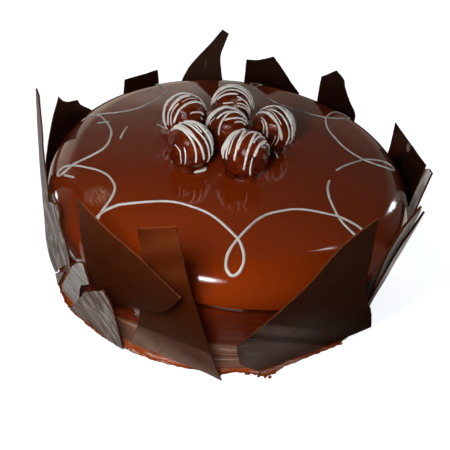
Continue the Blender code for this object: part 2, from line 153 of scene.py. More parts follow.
# Foot of the coat: share of the run-out and height over the glaze.
SKIRT_PROFILE = ((0.0, 2.1), (0.06, 1.3), (0.2, 0.7), (0.42, 0.38), (0.68, 0.22), (0.9, 0.1),
                 (1.0, -0.1), (0.95, -0.35))
# Truffles: x, y, radius over the drizzle, then each line of drizzle as azimuth and elevation of its
# plane, offset of the plane (share of the radius), first and last angle from the top, half width.
TRUFFLES = {
    "truffle_left": (-31.4, 9.2, 13.7, [
        (-75, 30, 0.2, -65, 115, 0.8), (-50, 10, 0.15, -40, 100, 0.6), (130, 0, -0.1, -60, 10, 0.5),
        (-60, 15, 0.5, 30, 105, 0.6), (-50, 25, 0.65, -30, 30, 0.3), (170, -50, -0.9, 70, 130, 0.4),
        (-50, 0, 0.45, -70, 85, 1.0), (-55, 0, 0.8, -55, 20, 0.6), (120, 5, -0.85, 35, 60, 0.4),
        (-70, 25, 0.0, -80, 120, 0.8), (-60, 20, -0.1, -90, 120, 0.8),
        (-55, 10, -0.35, -95, 110, 0.9), (-55, 0, -0.6, -90, 85, 0.9)]),
    "truffle_back": (-4.2, 27.8, 13.8, [
        (-85, 25, 0.1, -95, 90, 0.8), (-90, 20, 0.35, -85, 85, 0.7), (-90, 15, 0.5, -75, 80, 0.6),
        (-85, -10, 0.3, -10, 55, 0.8), (-90, -5, 0.5, -85, -10, 0.6), (95, 25, -0.45, -35, 0, 0.6),
        (105, -15, -0.85, 0, 25, 0.5), (-85, -20, 0.6, -90, -10, 0.7), (-75, -5, 0.75, -85, 0, 0.6),
        (-85, 10, 0.0, -90, 90, 0.9), (-85, 5, -0.15, -90, 95, 0.9), (-85, 0, -0.4, -95, 90, 0.9),
        (-85, 0, -0.6, -90, 90, 0.9)]),
    "truffle_middle": (-5.5, 0.4, 13.2, [
        (-90, 30, 0.05, -70, 75, 0.7), (-85, 25, 0.25, -50, 60, 0.5), (-65, 15, 0.4, -65, 45, 0.8),
        (-50, 20, 0.55, -15, 90, 0.7), (-65, -10, 0.35, -60, 25, 0.7), (-55, 5, 0.75, -50, 10, 0.7),
        (65, -35, -0.9, -110, -50, 0.3), (-60, 10, -0.1, -80, 95, 0.9), (-60, 5, -0.3, -90, 90, 0.9),
        (-60, 0, -0.6, -85, 90, 0.9)]),
    "truffle_right": (21.9, 7.9, 13.4, [
        (60, -10, 0.0, -65, 60, 0.8), (45, -5, -0.55, -60, 120, 0.5), (45, 5, -0.45, -60, 35, 0.5),
        (40, 10, -0.3, -10, 90, 1.0), (45, 0, -0.35, -20, 50, 0.4), (35, -5, -0.8, -10, 95, 0.8),
        (35, -10, -0.9, 5, 90, 0.5), (55, 0, -0.2, -15, 115, 0.7), (60, -5, 0.1, 10, 120, 0.4),
        (35, -5, -0.55, 80, 125, 0.3), (45, 5, 0.25, -80, 100, 0.8), (45, 0, 0.45, -85, 100, 0.9),
        (45, 0, 0.7, -80, 95, 0.8)]),
    "truffle_front_left": (-24.4, -22.0, 13.5, [
        (50, 0, -0.45, -55, 105, 0.8), (55, 10, -0.2, -45, 100, 0.9), (50, 5, -0.2, -45, 45, 0.5),
        (55, 10, 0.1, -40, 125, 0.7), (55, 5, 0.15, -25, 35, 0.5), (60, 5, 0.3, -35, 110, 0.9),
        (45, 5, -0.85, 15, 125, 0.4), (35, 0, -0.6, 55, 115, 0.5), (55, 5, 0.45, -60, 100, 0.9),
        (55, 5, 0.65, -70, 90, 0.8)]),
    "truffle_front_right": (6.5, -24.0, 13.6, [
        (-60, 10, -0.25, 15, 90, 0.8), (-40, 10, -0.4, -10, 90, 0.6), (-35, 15, -0.25, -15, 85, 0.9),
        (-30, 10, -0.2, 0, 70, 0.5), (-20, 5, -0.1, -10, 80, 0.9), (-40, 25, 0.45, -50, 60, 0.6),
        (-15, 0, 0.25, -20, 100, 0.9), (-25, 25, 0.75, -60, 30, 0.7), (-15, 0, 0.5, 60, 125, 0.7),
        (-25, 0, 0.65, -25, 55, 1.0), (-10, 20, 0.9, -50, 20, 0.4), (-30, 0, 0.7, -120, -25, 0.5),
        (-35, 0, -0.5, -60, 90, 0.9), (-35, 0, -0.7, -70, 85, 0.8)]),
}
# Drizzle that slid off a truffle: truffle, both ends and half width.
STRANDS = [("truffle_front_left", (-20.3, -32.2, 76.6), (-13.6, -27.6, 76.6), 1.1),
           ("truffle_right", (23.8, -0.4, 77.2), (26.2, -6.6, 75.9), 0.7)]
# Dents in the coat: truffle, azimuth and elevation of the middle, width in degrees, depth.
DENTS = [("truffle_front_left", -165, 12, 26, 1.1), ("truffle_back", -88, 28, 12, 0.9),
         ("truffle_front_right", -62, 38, 11, 1.0), ("truffle_front_right", -22, 5, 20, 0.8),
         ("truffle_right", -150, 15, 18, 0.8), ("truffle_left", -30, 5, 18, 0.6)]

# Sheets: millimetres to a unit of the UV map, distance between the points of an outline, the
# angle in degrees from which a corner is sharp, and how close the inner points come to the edge.
UV_UNIT = 100
OUTLINE_STEP = 1.6
SHARP_CORNER = 42
EDGE_CLEAR = 1.4

# Camera: place, degrees down and roll in degrees.
CAMERA_AT = (0.0, -242.7, 227.2)
CAMERA_PITCH = 41.45
CAMERA_ROLL = 6.82
# Lights that show in the gloss: place, aim, width and height, share of the key's radiance.
GLOSS_LIGHTS = {
    "key_gloss": ((-52, -447, 427), (-5, -102, 69), (190, 150), 1.0),
    "kick_left": ((-551, 132, 11), (-90, -54, 66), (60, 70), 0.4),
    "kick_right": ((448, 262, 253), (90, -36, 73), (70, 170), 0.6),
    "strip_right": ((235, 152, 470), (47, -79, 74), (170, 14), 0.4)}
# Lights that only the matt colours see: place, aim, width and height, watts.
MATT_LIGHTS = {
    "key_matt": ((-41, -171, 180), (0, -20, 50), (50, 50), 0.238),
    "fill_top": ((0, 220, 330), (0, 0, 70), (300, 300), 0.08),
    "fill_front": ((-330, -560, 180), (0, 0, 50), (300, 300), 0.45),
    "fill_right": ((380, -520, 150), (0, 0, 50), (300, 300), 0.28),
    "fill_back_left": ((-650, 750, 120), (0, 0, 50), (300, 200), 6.0),
    "fill_back_right": ((650, 750, 120), (0, 0, 50), (300, 200), 6.0)}
# Radius and height of the floor and of the wall that it runs up into.
FLOOR_PROFILE = ((1, -0.05), (2500, -0.05), (3300, 90), (3800, 420), (4000, 1000), (4000, 5000))
# Parts of the floor that are lit in the gloss: azimuth of the middle, half width and softness in
# degrees, brightness.
BOUNCE_PARTS = ((221, 84, 24, 1.0), (17, 33, 6, 0.85), (179, 39, 5, 0.75))
STAGE_SEGMENTS = 96


def linear(code):
    """Turn an sRGB hex colour into linear red, green and blue."""
    parts = [int(code[i:i + 2], 16) / 255 for i in (1, 3, 5)]
    return tuple(p / 12.92 if p <= 0.04045 else ((p + 0.055) / 1.055) ** 2.4 for p in parts)


def colour_property(name, description, code):
    """Return a colour property whose default is an sRGB hex colour."""
    return bpy.props.FloatVectorProperty(
        name=name, description=description, subtype="COLOR", size=3, min=0.0, max=1.0,
        default=linear(code))


def length_property(name, description, millimetres):
    """Return a length property whose default is given in millimetres."""
    return bpy.props.FloatProperty(
        name=name, description=description, unit="LENGTH", precision=5, min=0.0,
        default=millimetres * MM)


class SideSettings(bpy.types.PropertyGroup):
    """Sizes and colours of the combed side."""

    pitch: length_property("Comb Pitch", "Distance between two comb lines", 1.5)
    depth: length_property("Comb Depth", "Depth of a comb line", 0.45)
    combed: length_property("Combed Height", "Height up to which the comb lines show", 24.0)
    upper: colour_property("Upper Colour", "Ganache just under the glaze", "#7c2c10")
    # Paler colour of the combed part: partly the ganache, partly painted reflection of the pale floor.
    lower: colour_property("Lower Colour", "Ganache near the foot", "#b27c62")
    foot: colour_property("Foot Colour", "Ganache pressed out at the foot", "#b44c14")


class GlazeSettings(bpy.types.PropertyGroup):
    """Sizes and colours of the poured glaze."""

    wave: length_property("Wave", "Height of the slow waves on the top", 0.12)
    puddle: length_property("Puddle", "Height of the glaze pushed up round a truffle", 0.55)
    deep: colour_property("Deep Colour", "Thick glaze on the top", "#7e2b06")
    # The thin colour is partly thin glaze and partly painted light on the brighter lit shoulder.
    thin: colour_property("Thin Colour", "Thin glaze on the shoulder", "#883006")
    fleck: colour_property("Fleck Colour", "Fine specks in the glaze", "#c47a3c")
    roughness: bpy.props.FloatProperty(
        name="Roughness", description="Roughness of the glaze", default=0.11, min=0.0, max=1.0,
        subtype="FACTOR")


class ScrollSettings(bpy.types.PropertyGroup):
    """Sizes and colour of the piped scroll."""

    front: length_property("Half Width Front", "Half width of the line at the front", 0.74)
    back: length_property("Half Width Back", "Half width of the line at the back", 0.52)
    sink: length_property("Sink", "How far the middle of the line lies under the glaze", 0.05)
    colour: colour_property("Colour", "White chocolate", "#d0ccc4")


class TruffleSettings(bpy.types.PropertyGroup):
    """Sizes and colours of the truffles."""

    lumps: length_property("Lumps", "Height of the lumps of the coat", 0.32)
    skirt: length_property("Skirt", "How far the coat has run out at the foot", 2.2)
    thinned: bpy.props.FloatProperty(
        name="Drizzle Width", description="Share of the full width of the drizzle", default=0.74,
        min=0.2, max=1.5)
    coat: colour_property("Coat Colour", "Chocolate coat", "#601e06")
    drizzle: colour_property("Drizzle Colour", "White chocolate drizzle", "#f3f0ea")


class SheetSettings(bpy.types.PropertyGroup):
    """Sizes and colours of the broken sheets."""

    thickness: length_property("Thickness", "Thickness of a sheet", 1.1)
    thinner: length_property("Thin Thickness", "Thickness of the thinner sheets", 0.75)
    grid: length_property("Grid", "Distance between the points of a sheet", 4.0)
    worn: length_property("Worn Edge", "Width of the worn corner of a broken edge", 0.18)
    warp: length_property("Warp", "How far a sheet bends out of its plane", 0.35)
    edge: colour_property("Edge Colour", "Broken edge", "#5c2c14")


class StageSettings(bpy.types.PropertyGroup):
    """Floor, lights and camera."""

    floor: colour_property("Floor Colour", "Pale studio floor", "#dfe1e2")
    bounce: bpy.props.FloatProperty(
        name="Bounce", description="Brightness of the floor close to the cake in its gloss",
        default=0.7, min=0.0)
    bounce_radius: length_property("Bounce Radius", "Radius of the floor seen in the gloss", 122.5)
    key: bpy.props.FloatProperty(
        name="Key Radiance", description="Brightness of the key light in the gloss", default=45.0,
        min=0.0)
    lens: bpy.props.FloatProperty(
        name="Lens", description="Focal length of the camera in millimetres on a 36 mm sensor",
        default=37.6, min=1.0)


# Frame: the sheets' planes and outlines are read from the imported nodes.


class Sheet:
    """A sheet's plane and outline, read from its node."""

    def __init__(self, item):
        """Measure the outer of the node's two large faces."""
        bm = bmesh.new()
        bm.from_mesh(item.data)
        bmesh.ops.remove_doubles(bm, verts=bm.verts, dist=0.01 * MM)
        bmesh.ops.dissolve_limit(bm, angle_limit=math.radians(1), verts=bm.verts, edges=bm.edges)
        faces = sorted(bm.faces, key=lambda face: -face.calc_area())[:2]
        centre = sum((vert.co for vert in bm.verts), Vector()) / len(bm.verts)
        outer = max(faces, key=lambda face: face.normal.x * centre.x + face.normal.y * centre.y)
        normal = outer.normal.copy()
        self.azimuth = math.degrees(math.atan2(normal.y, normal.x))
        self.lean = math.degrees(math.asin(-normal.z))
        middle = sum((face.calc_center_median() for face in faces), Vector()) / 2
        self.distance = middle.dot(normal) / MM / math.cos(math.radians(self.lean))
        turn = math.radians(self.azimuth)
        slope = math.radians(self.lean)
        self.out = Vector((math.cos(turn), math.sin(turn), 0.0))
        self.across = Vector((-math.sin(turn), math.cos(turn), 0.0))
        self.rise = self.out * math.sin(slope) + Vector((0.0, 0.0, math.cos(slope)))
        self.normal = self.out * math.cos(slope) - Vector((0.0, 0.0, math.sin(slope)))
        corners = [self.flat(vert.co / MM) for vert in outer.verts]
        bm.free()
        area = sum(a[0] * b[1] - b[0] * a[1] for a, b in zip(corners, corners[1:] + corners[:1]))
        self.corners = corners if area > 0 else corners[::-1]
        self.wide = (min(u for u, v in corners), max(u for u, v in corners))
        self.tall = (min(v for u, v in corners), max(v for u, v in corners))

    def flat(self, point):
        """Return a point in millimetres as across and up the sheet."""
        rest = point - self.out * self.distance
        return rest.dot(self.across), rest.dot(self.rise)

    def place(self, u, v, off):
        """Return the point of the sheet at across and up, moved off its middle plane."""
        return self.out * self.distance + self.across * u + self.rise * v + self.normal * off


SHEETS = {name: Sheet(item) for name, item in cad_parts.items() if name.startswith("shard_")}


# Rules of shape.


def turned(radius, azimuth, height):
    """Return the point at a radius, an azimuth in degrees and a height."""
    angle = math.radians(azimuth)
    return Vector((radius * math.cos(angle), radius * math.sin(angle), height))


def angle_between(a, b):
    """Return how far azimuth a is past azimuth b, within half a turn."""
    return (a - b + 180.0) % 360.0 - 180.0


def clamped(value):
    """Return a value kept from 0 to 1."""
    return max(0.0, min(1.0, value))


def hump(azimuth, middle, width, height, power=2):
    """Return the height at an azimuth of a smooth hump round another, its width in degrees."""
    return height * math.exp(-(angle_between(azimuth, middle) / width) ** power)


def grain(point, size, seed):
    """Return smooth noise from -1 to 1 whose features are about one size wide."""
    return noise.noise(Vector(point) / size + Vector((seed, seed * 1.7, seed * 2.3)))


def pressed(radius, azimuth, height):
    """Return the radius, less where a sheet is pressed into the side."""
    result = radius
    for sheet in SHEETS.values():
        turn = angle_between(azimuth, sheet.azimuth)
        if abs(turn) > PRESSED_TURN:
            continue
        slope = math.radians(sheet.lean)
        across = sheet.distance * math.tan(math.radians(turn))
        along = height / math.cos(slope)
        if not sheet.wide[0] - PRESSED_ACROSS < across < sheet.wide[1] + PRESSED_ACROSS:
            continue
        if not sheet.tall[0] - PRESSED_UP < along < sheet.tall[1] + PRESSED_UP:
            continue
        room = PRESSED_GAP / math.cos(slope)
        flat = (sheet.distance + height * math.tan(slope) - room) / math.cos(math.radians(turn))
        result = min(result, flat)
    return result


def eased(table, azimuth):
    """Return the value at an azimuth, eased between the given pairs of azimuth and value."""
    closed = table + [(table[0][0] + 360, table[0][1])]
    at = (azimuth - closed[0][0]) % 360 + closed[0][0]
    for (a, low), (b, high) in zip(closed, closed[1:]):
        if a <= at <= b:
            share = (1 - math.cos(math.pi * (at - a) / (b - a))) / 2
            return low + (high - low) * share
    return closed[0][1]


def foot_radius(azimuth):
    """Return the uneven outer radius of the foot."""
    spot = turned(106, azimuth, 0)
    return eased(FOOT, azimuth) + 0.55 * grain(spot, 3.2, 3) + 0.3 * grain(spot, 1.2, 5)


def glaze_radius(azimuth):
    """Return the radius of the glaze's side."""
    return GLAZE_RADIUS + GLAZE_OVAL * math.cos(math.radians(azimuth - GLAZE_OVAL_AT))


def glaze_surface(radius, side):
    """Return height and outward tilt in radians of the glaze's top, from its side's radius."""
    start = side - SHOULDER
    if radius <= GLAZE_FLAT:
        return GLAZE_TOP, 0.0
    if radius <= start:
        share = (radius - GLAZE_FLAT) / (start - GLAZE_FLAT)
        return GLAZE_TOP - GLAZE_DOME * share * share, 0.02 * share
    tilt = math.asin(min(1.0, (radius - start) / SHOULDER))
    return GLAZE_TOP - GLAZE_DOME - SHOULDER * (1 - math.cos(tilt)), tilt


# Meshes, materials and objects.


def new_object(name, points, faces, materials, slots=None, uvs=None):
    """Make an object at the origin from points in millimetres and faces, shaded smooth."""
    mesh = bpy.data.meshes.new(name)
    mesh.from_pydata([Vector(p) * MM for p in points], [], faces)
    for item in materials:
        mesh.materials.append(item)
    if slots:
        mesh.polygons.foreach_set("material_index", slots)
    if uvs:
        layer = mesh.uv_layers.new(name="sheet")
        for loop in mesh.loops:
            layer.data[loop.index].uv = uvs[loop.vertex_index]
    mesh.shade_smooth()
    made = bpy.data.objects.new(name, mesh)
    bpy.context.scene.collection.objects.link(made)
    return made


def ring_faces(rings, count, close_first=False, close_last=False):
    """Return the faces between rings of points, with the first or last ring capped."""
    faces = []
    for k in range(rings - 1):
        for i in range(count):
            j = (i + 1) % count
            a = k * count
            b = a + count
            faces.append((a + i, a + j, b + j, b + i))
    if close_first:
        faces.append(tuple(reversed(range(count))))
    if close_last:
        last = (rings - 1) * count
        faces.append(tuple(range(last, last + count)))
    return faces


def ringed_object(name, rings, material):
    """Make an object of one material from rings of points, with both ends capped."""
    points = [point for ring in rings for point in ring]
    faces = ring_faces(len(rings), len(rings[0]), True, True)
    return new_object(name, points, faces, [material])


def finish_piece(item, slot, *nodes):
    """Let a piece ride on the cake and stand for its nodes; the slot is not used."""
    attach(item, "root")
    if nodes:
        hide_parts(*nodes)


def fill(tree, node, inputs):
    """Set a node's inputs to values, or link them to sockets."""
    for key, value in inputs.items():
        if isinstance(value, bpy.types.NodeSocket):
            tree.links.new(value, node.inputs[key])
        else:
            node.inputs[key].default_value = value


def add(tree, kind, inputs=None, **settings):
    """Add a node with its settings, and its inputs as values or as sockets to link."""
    made = tree.nodes.new(kind)
    for key, value in settings.items():
        setattr(made, key, value)
    fill(tree, made, inputs or {})
    return made


def maths(tree, operation, *values):
    """Return the socket of a math node over values and sockets."""
    return add(tree, "ShaderNodeMath", dict(enumerate(values)), operation=operation).outputs[0]


def remap(tree, value, low, high, to_low=0.0, to_high=1.0, smooth=False):
    """Return a socket that maps a value from one range to another, clamped."""
    mapped = add(tree, "ShaderNodeMapRange", {
        "Value": value, "From Min": low, "From Max": high, "To Min": to_low, "To Max": to_high},
        interpolation_type="SMOOTHSTEP" if smooth else "LINEAR")
    return mapped.outputs["Result"]


def object_place(tree):
    """Return the socket of the object coordinates, in metres."""
    return add(tree, "ShaderNodeTexCoord").outputs["Object"]


def per_mm(size):
    """Return the scale of a pattern on object coordinates whose features are size mm wide."""
    return 1.0 / (size * MM)


def mottle(tree, place, size, detail, roughness=0.5):
    """Return the socket of noise whose features are size mm wide on object coordinates."""
    made = add(tree, "ShaderNodeTexNoise", {
        "Vector": place, "Scale": per_mm(size), "Detail": detail, "Roughness": roughness})
    return made.outputs["Fac"]


def bumps(tree, height, strength, depth):
    """Return the normal's socket for a height socket whose full range is depth mm."""
    made = add(tree, "ShaderNodeBump", {
        "Strength": strength, "Distance": depth * MM, "Height": height})
    return made.outputs["Normal"]


def paint(colour):
    """Return a colour as a node takes it: a socket as it is, else linear with full alpha."""
    if isinstance(colour, bpy.types.NodeSocket):
        return colour
    return (*(linear(colour) if isinstance(colour, str) else colour), 1.0)


def darker(colour, share):
    """Return a share of a linear colour."""
    return [part * share for part in colour]


def blend(tree, factor, first, second):
    """Mix two colours or colour sockets by a factor socket and return the result's socket."""
    mixed = add(tree, "ShaderNodeMix", {0: factor, 6: paint(first), 7: paint(second)},
                data_type="RGBA")
    return mixed.outputs[2]


def new_material(name, colour, roughness, ior=1.45, specular=0.5):
    """Make a material and return it with its tree and shader."""
    made = bpy.data.materials.new(name)
    made.use_nodes = True
    tree = made.node_tree
    shader = tree.nodes["Principled BSDF"]
    fill(tree, shader, {"Base Color": paint(colour), "Roughness": roughness, "IOR": ior,
                        "Specular IOR Level": specular})
    return made, tree, shader


def uneven_material(name, tones, share, size, detail, relief, roughness, specular):
    """Make a material that goes unevenly from one tone to another, with bumps that follow.

    The share is the noise where the second tone starts, where it is fullest, and how full. The
    relief is the strength of the bumps and their depth in millimetres.
    """
    made, tree, shader = new_material(name, tones[0], roughness, specular=specular)
    tone = mottle(tree, object_place(tree), size, detail)
    start, end, fullest = share
    colour = blend(tree, remap(tree, tone, start, end, 0.0, fullest), *tones)
    fill(tree, shader, {"Base Color": colour, "Normal": bumps(tree, tone, *relief)})
    return made


def mirror_glaze(settings):
    """Mirror glaze: cocoa, cream and gelatine poured warm over the cake.

    It sets to a wet, almost glassy skin that shows what stands round it. Over the shoulder it is
    warmer, partly where it ran thin and partly as painted light for the brighter lit shoulder, and
    fine specks of cocoa butter float in it.
    """
    deep = settings.deep
    base_rough = settings.roughness
    made, tree, shader = new_material("mirror_glaze_poured", deep, base_rough, specular=0.15)
    place = object_place(tree)
    height = add(tree, "ShaderNodeSeparateXYZ", {0: place}).outputs["Z"]
    # Warmer towards the shoulder: partly thin glaze, partly painted light.
    thin = remap(tree, height, THIN_FROM * MM, THIN_TO * MM, smooth=True)
    colour = blend(tree, thin, deep, settings.thin)
    clouded = remap(tree, mottle(tree, place, 28, 3.0), 0.35, 0.7, 0.0, 0.22)
    colour = blend(tree, clouded, colour, darker(deep, 0.6))
    # The real specks are finer than a pixel, so they are drawn as coarse as it takes to show.
    specks = add(tree, "ShaderNodeTexVoronoi", {"Vector": place, "Scale": per_mm(1.0)})
    speck = remap(tree, specks.outputs["Distance"], 0.22, 0.10)
    shown = remap(tree, mottle(tree, place, 7, 1.0), 0.36, 0.62, 0.04, 0.4)
    colour = blend(tree, maths(tree, "MULTIPLY", speck, shown), colour, settings.fleck)
    # The left touched spot has fine wrinkles that run outward, the right one is dimpled.
    drawn = add(tree, "ShaderNodeMapping", {
        "Vector": place, "Rotation": (0.0, 0.0, math.radians(WRINKLE_TURN)),
        "Scale": [size * MM for size in WRINKLE_SIZE]}, vector_type="TEXTURE")
    wrinkles = add(tree, "ShaderNodeTexNoise", {
        "Vector": drawn.outputs[0], "Scale": 1.0, "Detail": 3.0, "Distortion": 0.6}).outputs["Fac"]
    touched = []
    for spot, size in TOUCHED:
        from_spot = add(tree, "ShaderNodeVectorMath", {0: place, 1: Vector(spot) * MM},
                        operation="DISTANCE")
        touched.append(remap(tree, from_spot.outputs["Value"], size * MM, 0.3 * size * MM,
                             smooth=True))
    # The left spot's wrinkles are painted pale: painted highlights where they catch the light.
    painted_wrinkle_glints = maths(tree, "MULTIPLY", remap(tree, wrinkles, 0.48, 0.66, 0.1, 0.55), touched[0])
    colour = blend(tree, painted_wrinkle_glints, colour, "#c09a7c")
    rough = remap(tree, mottle(tree, place, 12, 4.0), 0.3, 0.75, base_rough * 0.8,
                  base_rough * 1.4)
    level = mottle(tree, place, 5, 2.0)
    for here, relief in zip(touched, (wrinkles, mottle(tree, place, 4, 2.0))):
        local = maths(tree, "MULTIPLY", here, relief)
        level = maths(tree, "MULTIPLY_ADD", local, 4.0, level)
    normal = bumps(tree, level, 0.25, 0.06)
    fill(tree, shader, {"Base Color": colour, "Roughness": rough, "Normal": normal,
                        "Coat Weight": 1.0, "Coat Roughness": 0.055, "Coat IOR": 1.45,
                        "Coat Normal": normal})
    return made


def white_chocolate(name, colour):
    """White chocolate, piped warm: satin, cream white, a little uneven along the line."""
    return uneven_material(name, (colour, darker(colour, 0.72)), (0.35, 0.7, 0.5), 3, 3.0,
                           (0.4, 0.12), 0.32, 0.45)


def pressed_ganache(settings):
    """Ganache pressed out under the cake: wet crumbs, warmer than the side."""
    return uneven_material("ganache_crumbs_wet", (settings.foot, settings.upper),
                           (0.4, 0.65, 0.8), 1.5, 3.0, (0.5, 0.2), 0.22, 0.6)


def broken_edge(colour):
    """Broken edge of a chocolate sheet: dull and grainy, in two browns."""
    return uneven_material("chocolate_broken_edge", (colour, darker(colour, 0.4)),
                           (0.4, 0.65, 0.7), 1.2, 2.0, (0.6, 0.2), 0.6, 0.1)


def combed_ganache(settings):
    """Ganache spread on the side: satin, smeared smooth under the glaze and combed below.

    Thin drag lines run round the cake; what is pressed out at the foot is wet and warmer.
    """
    made, tree, shader = new_material("ganache_combed", settings.upper, 0.2, specular=0.25)
    place = object_place(tree)
    height = add(tree, "ShaderNodeSeparateXYZ", {0: place}).outputs["Z"]
    # Below the combed height the side is paler: partly the combed ganache, partly painted reflection
    # of the pale floor.
    low = remap(tree, height, settings.combed + 1.5 * MM, settings.combed - 1.5 * MM)
    colour = blend(tree, low, settings.upper, settings.lower)
    foot = remap(tree, height, 4.2 * MM, 1.6 * MM, smooth=True)
    colour = blend(tree, foot, colour, settings.foot)

    def lines(squeeze, size, detail, roughness):
        """Return noise drawn out round the cake: its features are squeezed in height."""
        level = add(tree, "ShaderNodeMapping", {"Vector": place, "Scale": (1.0, 1.0, squeeze)})
        return mottle(tree, level.outputs[0], size, detail, roughness)

    drag = lines(14.0, 22, 6.0, 0.65)
    dark = remap(tree, drag, 0.45, 0.64, 0.0, 0.25)
    colour = blend(tree, dark, colour, darker(settings.upper, 0.45))
    # In the combed part the drag lines are sharp, with painted shade in the grooves and painted
    # highlights on the ridges.
    comb = lines(30.0, 30, 4.0, 0.7)
    for start, end, code in ((0.56, 0.62, "#5a2412"), (0.45, 0.37, "#e2c6b4")):
        shown = maths(tree, "MULTIPLY", remap(tree, comb, start, end, 0.0, 0.8), low)
        colour = blend(tree, shown, colour, code)
    rough = remap(tree, drag, 0.35, 0.65, 0.2, 0.4)
    fill(tree, shader, {"Base Color": colour, "Roughness": rough,
                        "Normal": bumps(tree, drag, 0.15, 0.08)})
    return made


def truffle_coat(settings):
    """Couverture run over a truffle: wet gloss, lumpy, painted warm glints and painted shade."""
    made, tree, shader = new_material("couverture_coat", settings.coat, 0.08, specular=0.6)
    place = object_place(tree)
    tone = mottle(tree, place, 6, 4.0, 0.6)
    # Warm patches are painted glints of reflected light; dark patches are painted shade.
    painted_warm_glints = remap(tree, tone, 0.5, 0.7, 0.0, 0.7)
    colour = blend(tree, painted_warm_glints, settings.coat, "#8f380a")
    dark = remap(tree, tone, 0.48, 0.34, 0.0, 0.85)
    colour = blend(tree, dark, colour, darker(settings.coat, 0.2))
    lumps = mottle(tree, place, 1.7, 3.0)
    fill(tree, shader, {"Base Color": colour, "Normal": bumps(tree, lumps, 0.8, 0.5)})
    return made


# Finish of the sheets. Zones: slope, low and high border and softness of v + slope * u, where it
# fades out across (from, to), colour, amount. Streaks: turn in degrees, colour, amount, sharpness.
# Spots: u, v, half length, half width, turn, colour, amount. u runs across, v up, in millimetres.
# Grain: how strongly the streaks show in relief and gloss. Patches: colours of blotches on the
# face. Rough and ior: roughness and index of refraction of the face. The sheets are all the same
# chocolate: their base colours differ partly as painted light and shade, and their pale zones and
# spots are mostly painted reflection of the floor, painted sheen and painted highlights.
FINISHES = {
    "dark": dict(base="#28130a", streaks=(35, "#3a2012", 0.25, 0.3), rough=0.3, grain=0.05),
    "tall": dict(base="#412a20", streaks=(70, "#4b3127", 0.3, 0.3), rough=0.3, grain=0.04, spots=[
        (4.4, 79.5, 4.2, 0.42, 97, "#8a7468", 0.8), (5.5, 73.6, 2.4, 0.36, 62, "#75604f", 0.6),
        (5.3, 85.6, 2.4, 0.36, 130, "#75604f", 0.5)]),
    "front_left": dict(base="#4a200e", streaks=(60, "#542810", 0.3, 0.2), rough=0.2, ior=1.2,
                       grain=0.04, zones=[(0.0, -50, 45, 14, None, "#3b1b0d", 1.0)]),
    # front_panel: the pale zones near the foot are painted reflection of the floor.
    "front_panel": dict(base="#4f1e09", streaks=(75, "#5c2911", 0.2, 0.2), rough=0.22, ior=1.07,
                        grain=0.05, zones=[
        (-0.2, -50, 58, 9, None, "#51250f", 1.0), (-0.8, 66, 78, 5, None, "#6b3517", 0.4),
        (-0.8, 88, 98, 5, None, "#6b3517", 0.4), (0.0, -50, 27, 1.6, None, "#8a5c48", 0.6),
        (0.3, -50, 16, 12, None, "#d0aa95", 0.8)]),
    # front_right: the pale bands near the foot are painted reflection of the floor, and the pale spots
    # are painted highlights on its creases.
    "front_right": dict(base="#613927", streaks=(14, "#5f3928", 0.2, 0.3), rough=0.22, ior=1.07,
                        grain=0.06, zones=[
        (0.1, -50, 40, 14, None, "#4d2d1d", 1.0), (0.77, -90, 15.5, 2.0, (45, 5), "#8d6b59", 1.0),
        (0.77, 22.5, 31, 2.5, (8, -26), "#9c7b68", 1.0)], spots=[
        (-46, 46, 6, 1.2, -28, "#a8958a", 0.8), (-42, 49.5, 7, 0.6, -35, "#8f7a6e", 0.7),
        (-41, 34, 9, 2.2, -45, "#a39085", 0.5), (-44, 40, 6, 1.4, -45, "#a8958a", 0.5),
        (-22, 4, 3, 1.6, 20, "#a39085", 0.4), (14, 34, 26, 0.35, 24, "#8a6a58", 0.5),
        (20, 27, 22, 0.3, 20, "#8a6a58", 0.4), (4, 44, 14, 0.3, 30, "#8a6a58", 0.35)]),
    # The left sheets are painted pale: painted grazing sheen over streaky bloom.
    "left": dict(base="#806860", streaks=(-84, "#d2c4be", 0.7, 0.6), rough=0.36, ior=1.15,
                 patches=("#3f2b24", "#e8e0da")),
    "left_wedge": dict(base="#e9ded6", streaks=(-8, "#fbf6f0", 0.9, 0.6), rough=0.36, ior=1.15,
                       patches=("#957f75", "#ffffff"), zones=[(0.0, 38, 90, 8, None, "#6b564b", 0.3)]),
    "left_low": dict(base="#7d5f53", streaks=(-58, "#d8c4ba", 0.7, 0.6), rough=0.36, ior=1.15,
                     patches=("#4a2c22", "#eee2da"), zones=[(0.55, -90, 12, 8, None, "#74503f", 0.6)]),
    # right: the pale spot is a painted highlight.
    "right": dict(base="#24120a", streaks=(80, "#3c2216", 0.3, 0.3), rough=0.25, grain=0.08, spots=[
        (2.6, 76.9, 3.4, 2.2, 30, "#8f857d", 0.8)]),
    # right_pale: painted near white as the grazing sheen on dark chocolate.
    "right_pale": dict(base="#ece4de", streaks=(88, "#a8978c", 0.5, 0.6), rough=0.3,
                       patches=("#c0b2a8", "#f8f3ef")),
}
# Finishes whose sheets are the thinner ones, and the finish of each sheet that isn't plain dark.
THINNER = ("front_left", "front_panel", "dark", "tall", "front_right", "right")
SHEET_FINISH = {
    "shard_front_right": "front_right", "shard_front_panel": "front_panel",
    "shard_front_left": "front_left", "shard_left_low": "left_low",
    "shard_left_wedge": "left_wedge",
    "shard_left": "left", "shard_left_chip": "left", "shard_back_tall": "tall",
    "shard_right": "right", "shard_right_outer": "right_pale",
    "shard_low_right": "right_pale", "shard_low_right_outer": "right_pale",
}


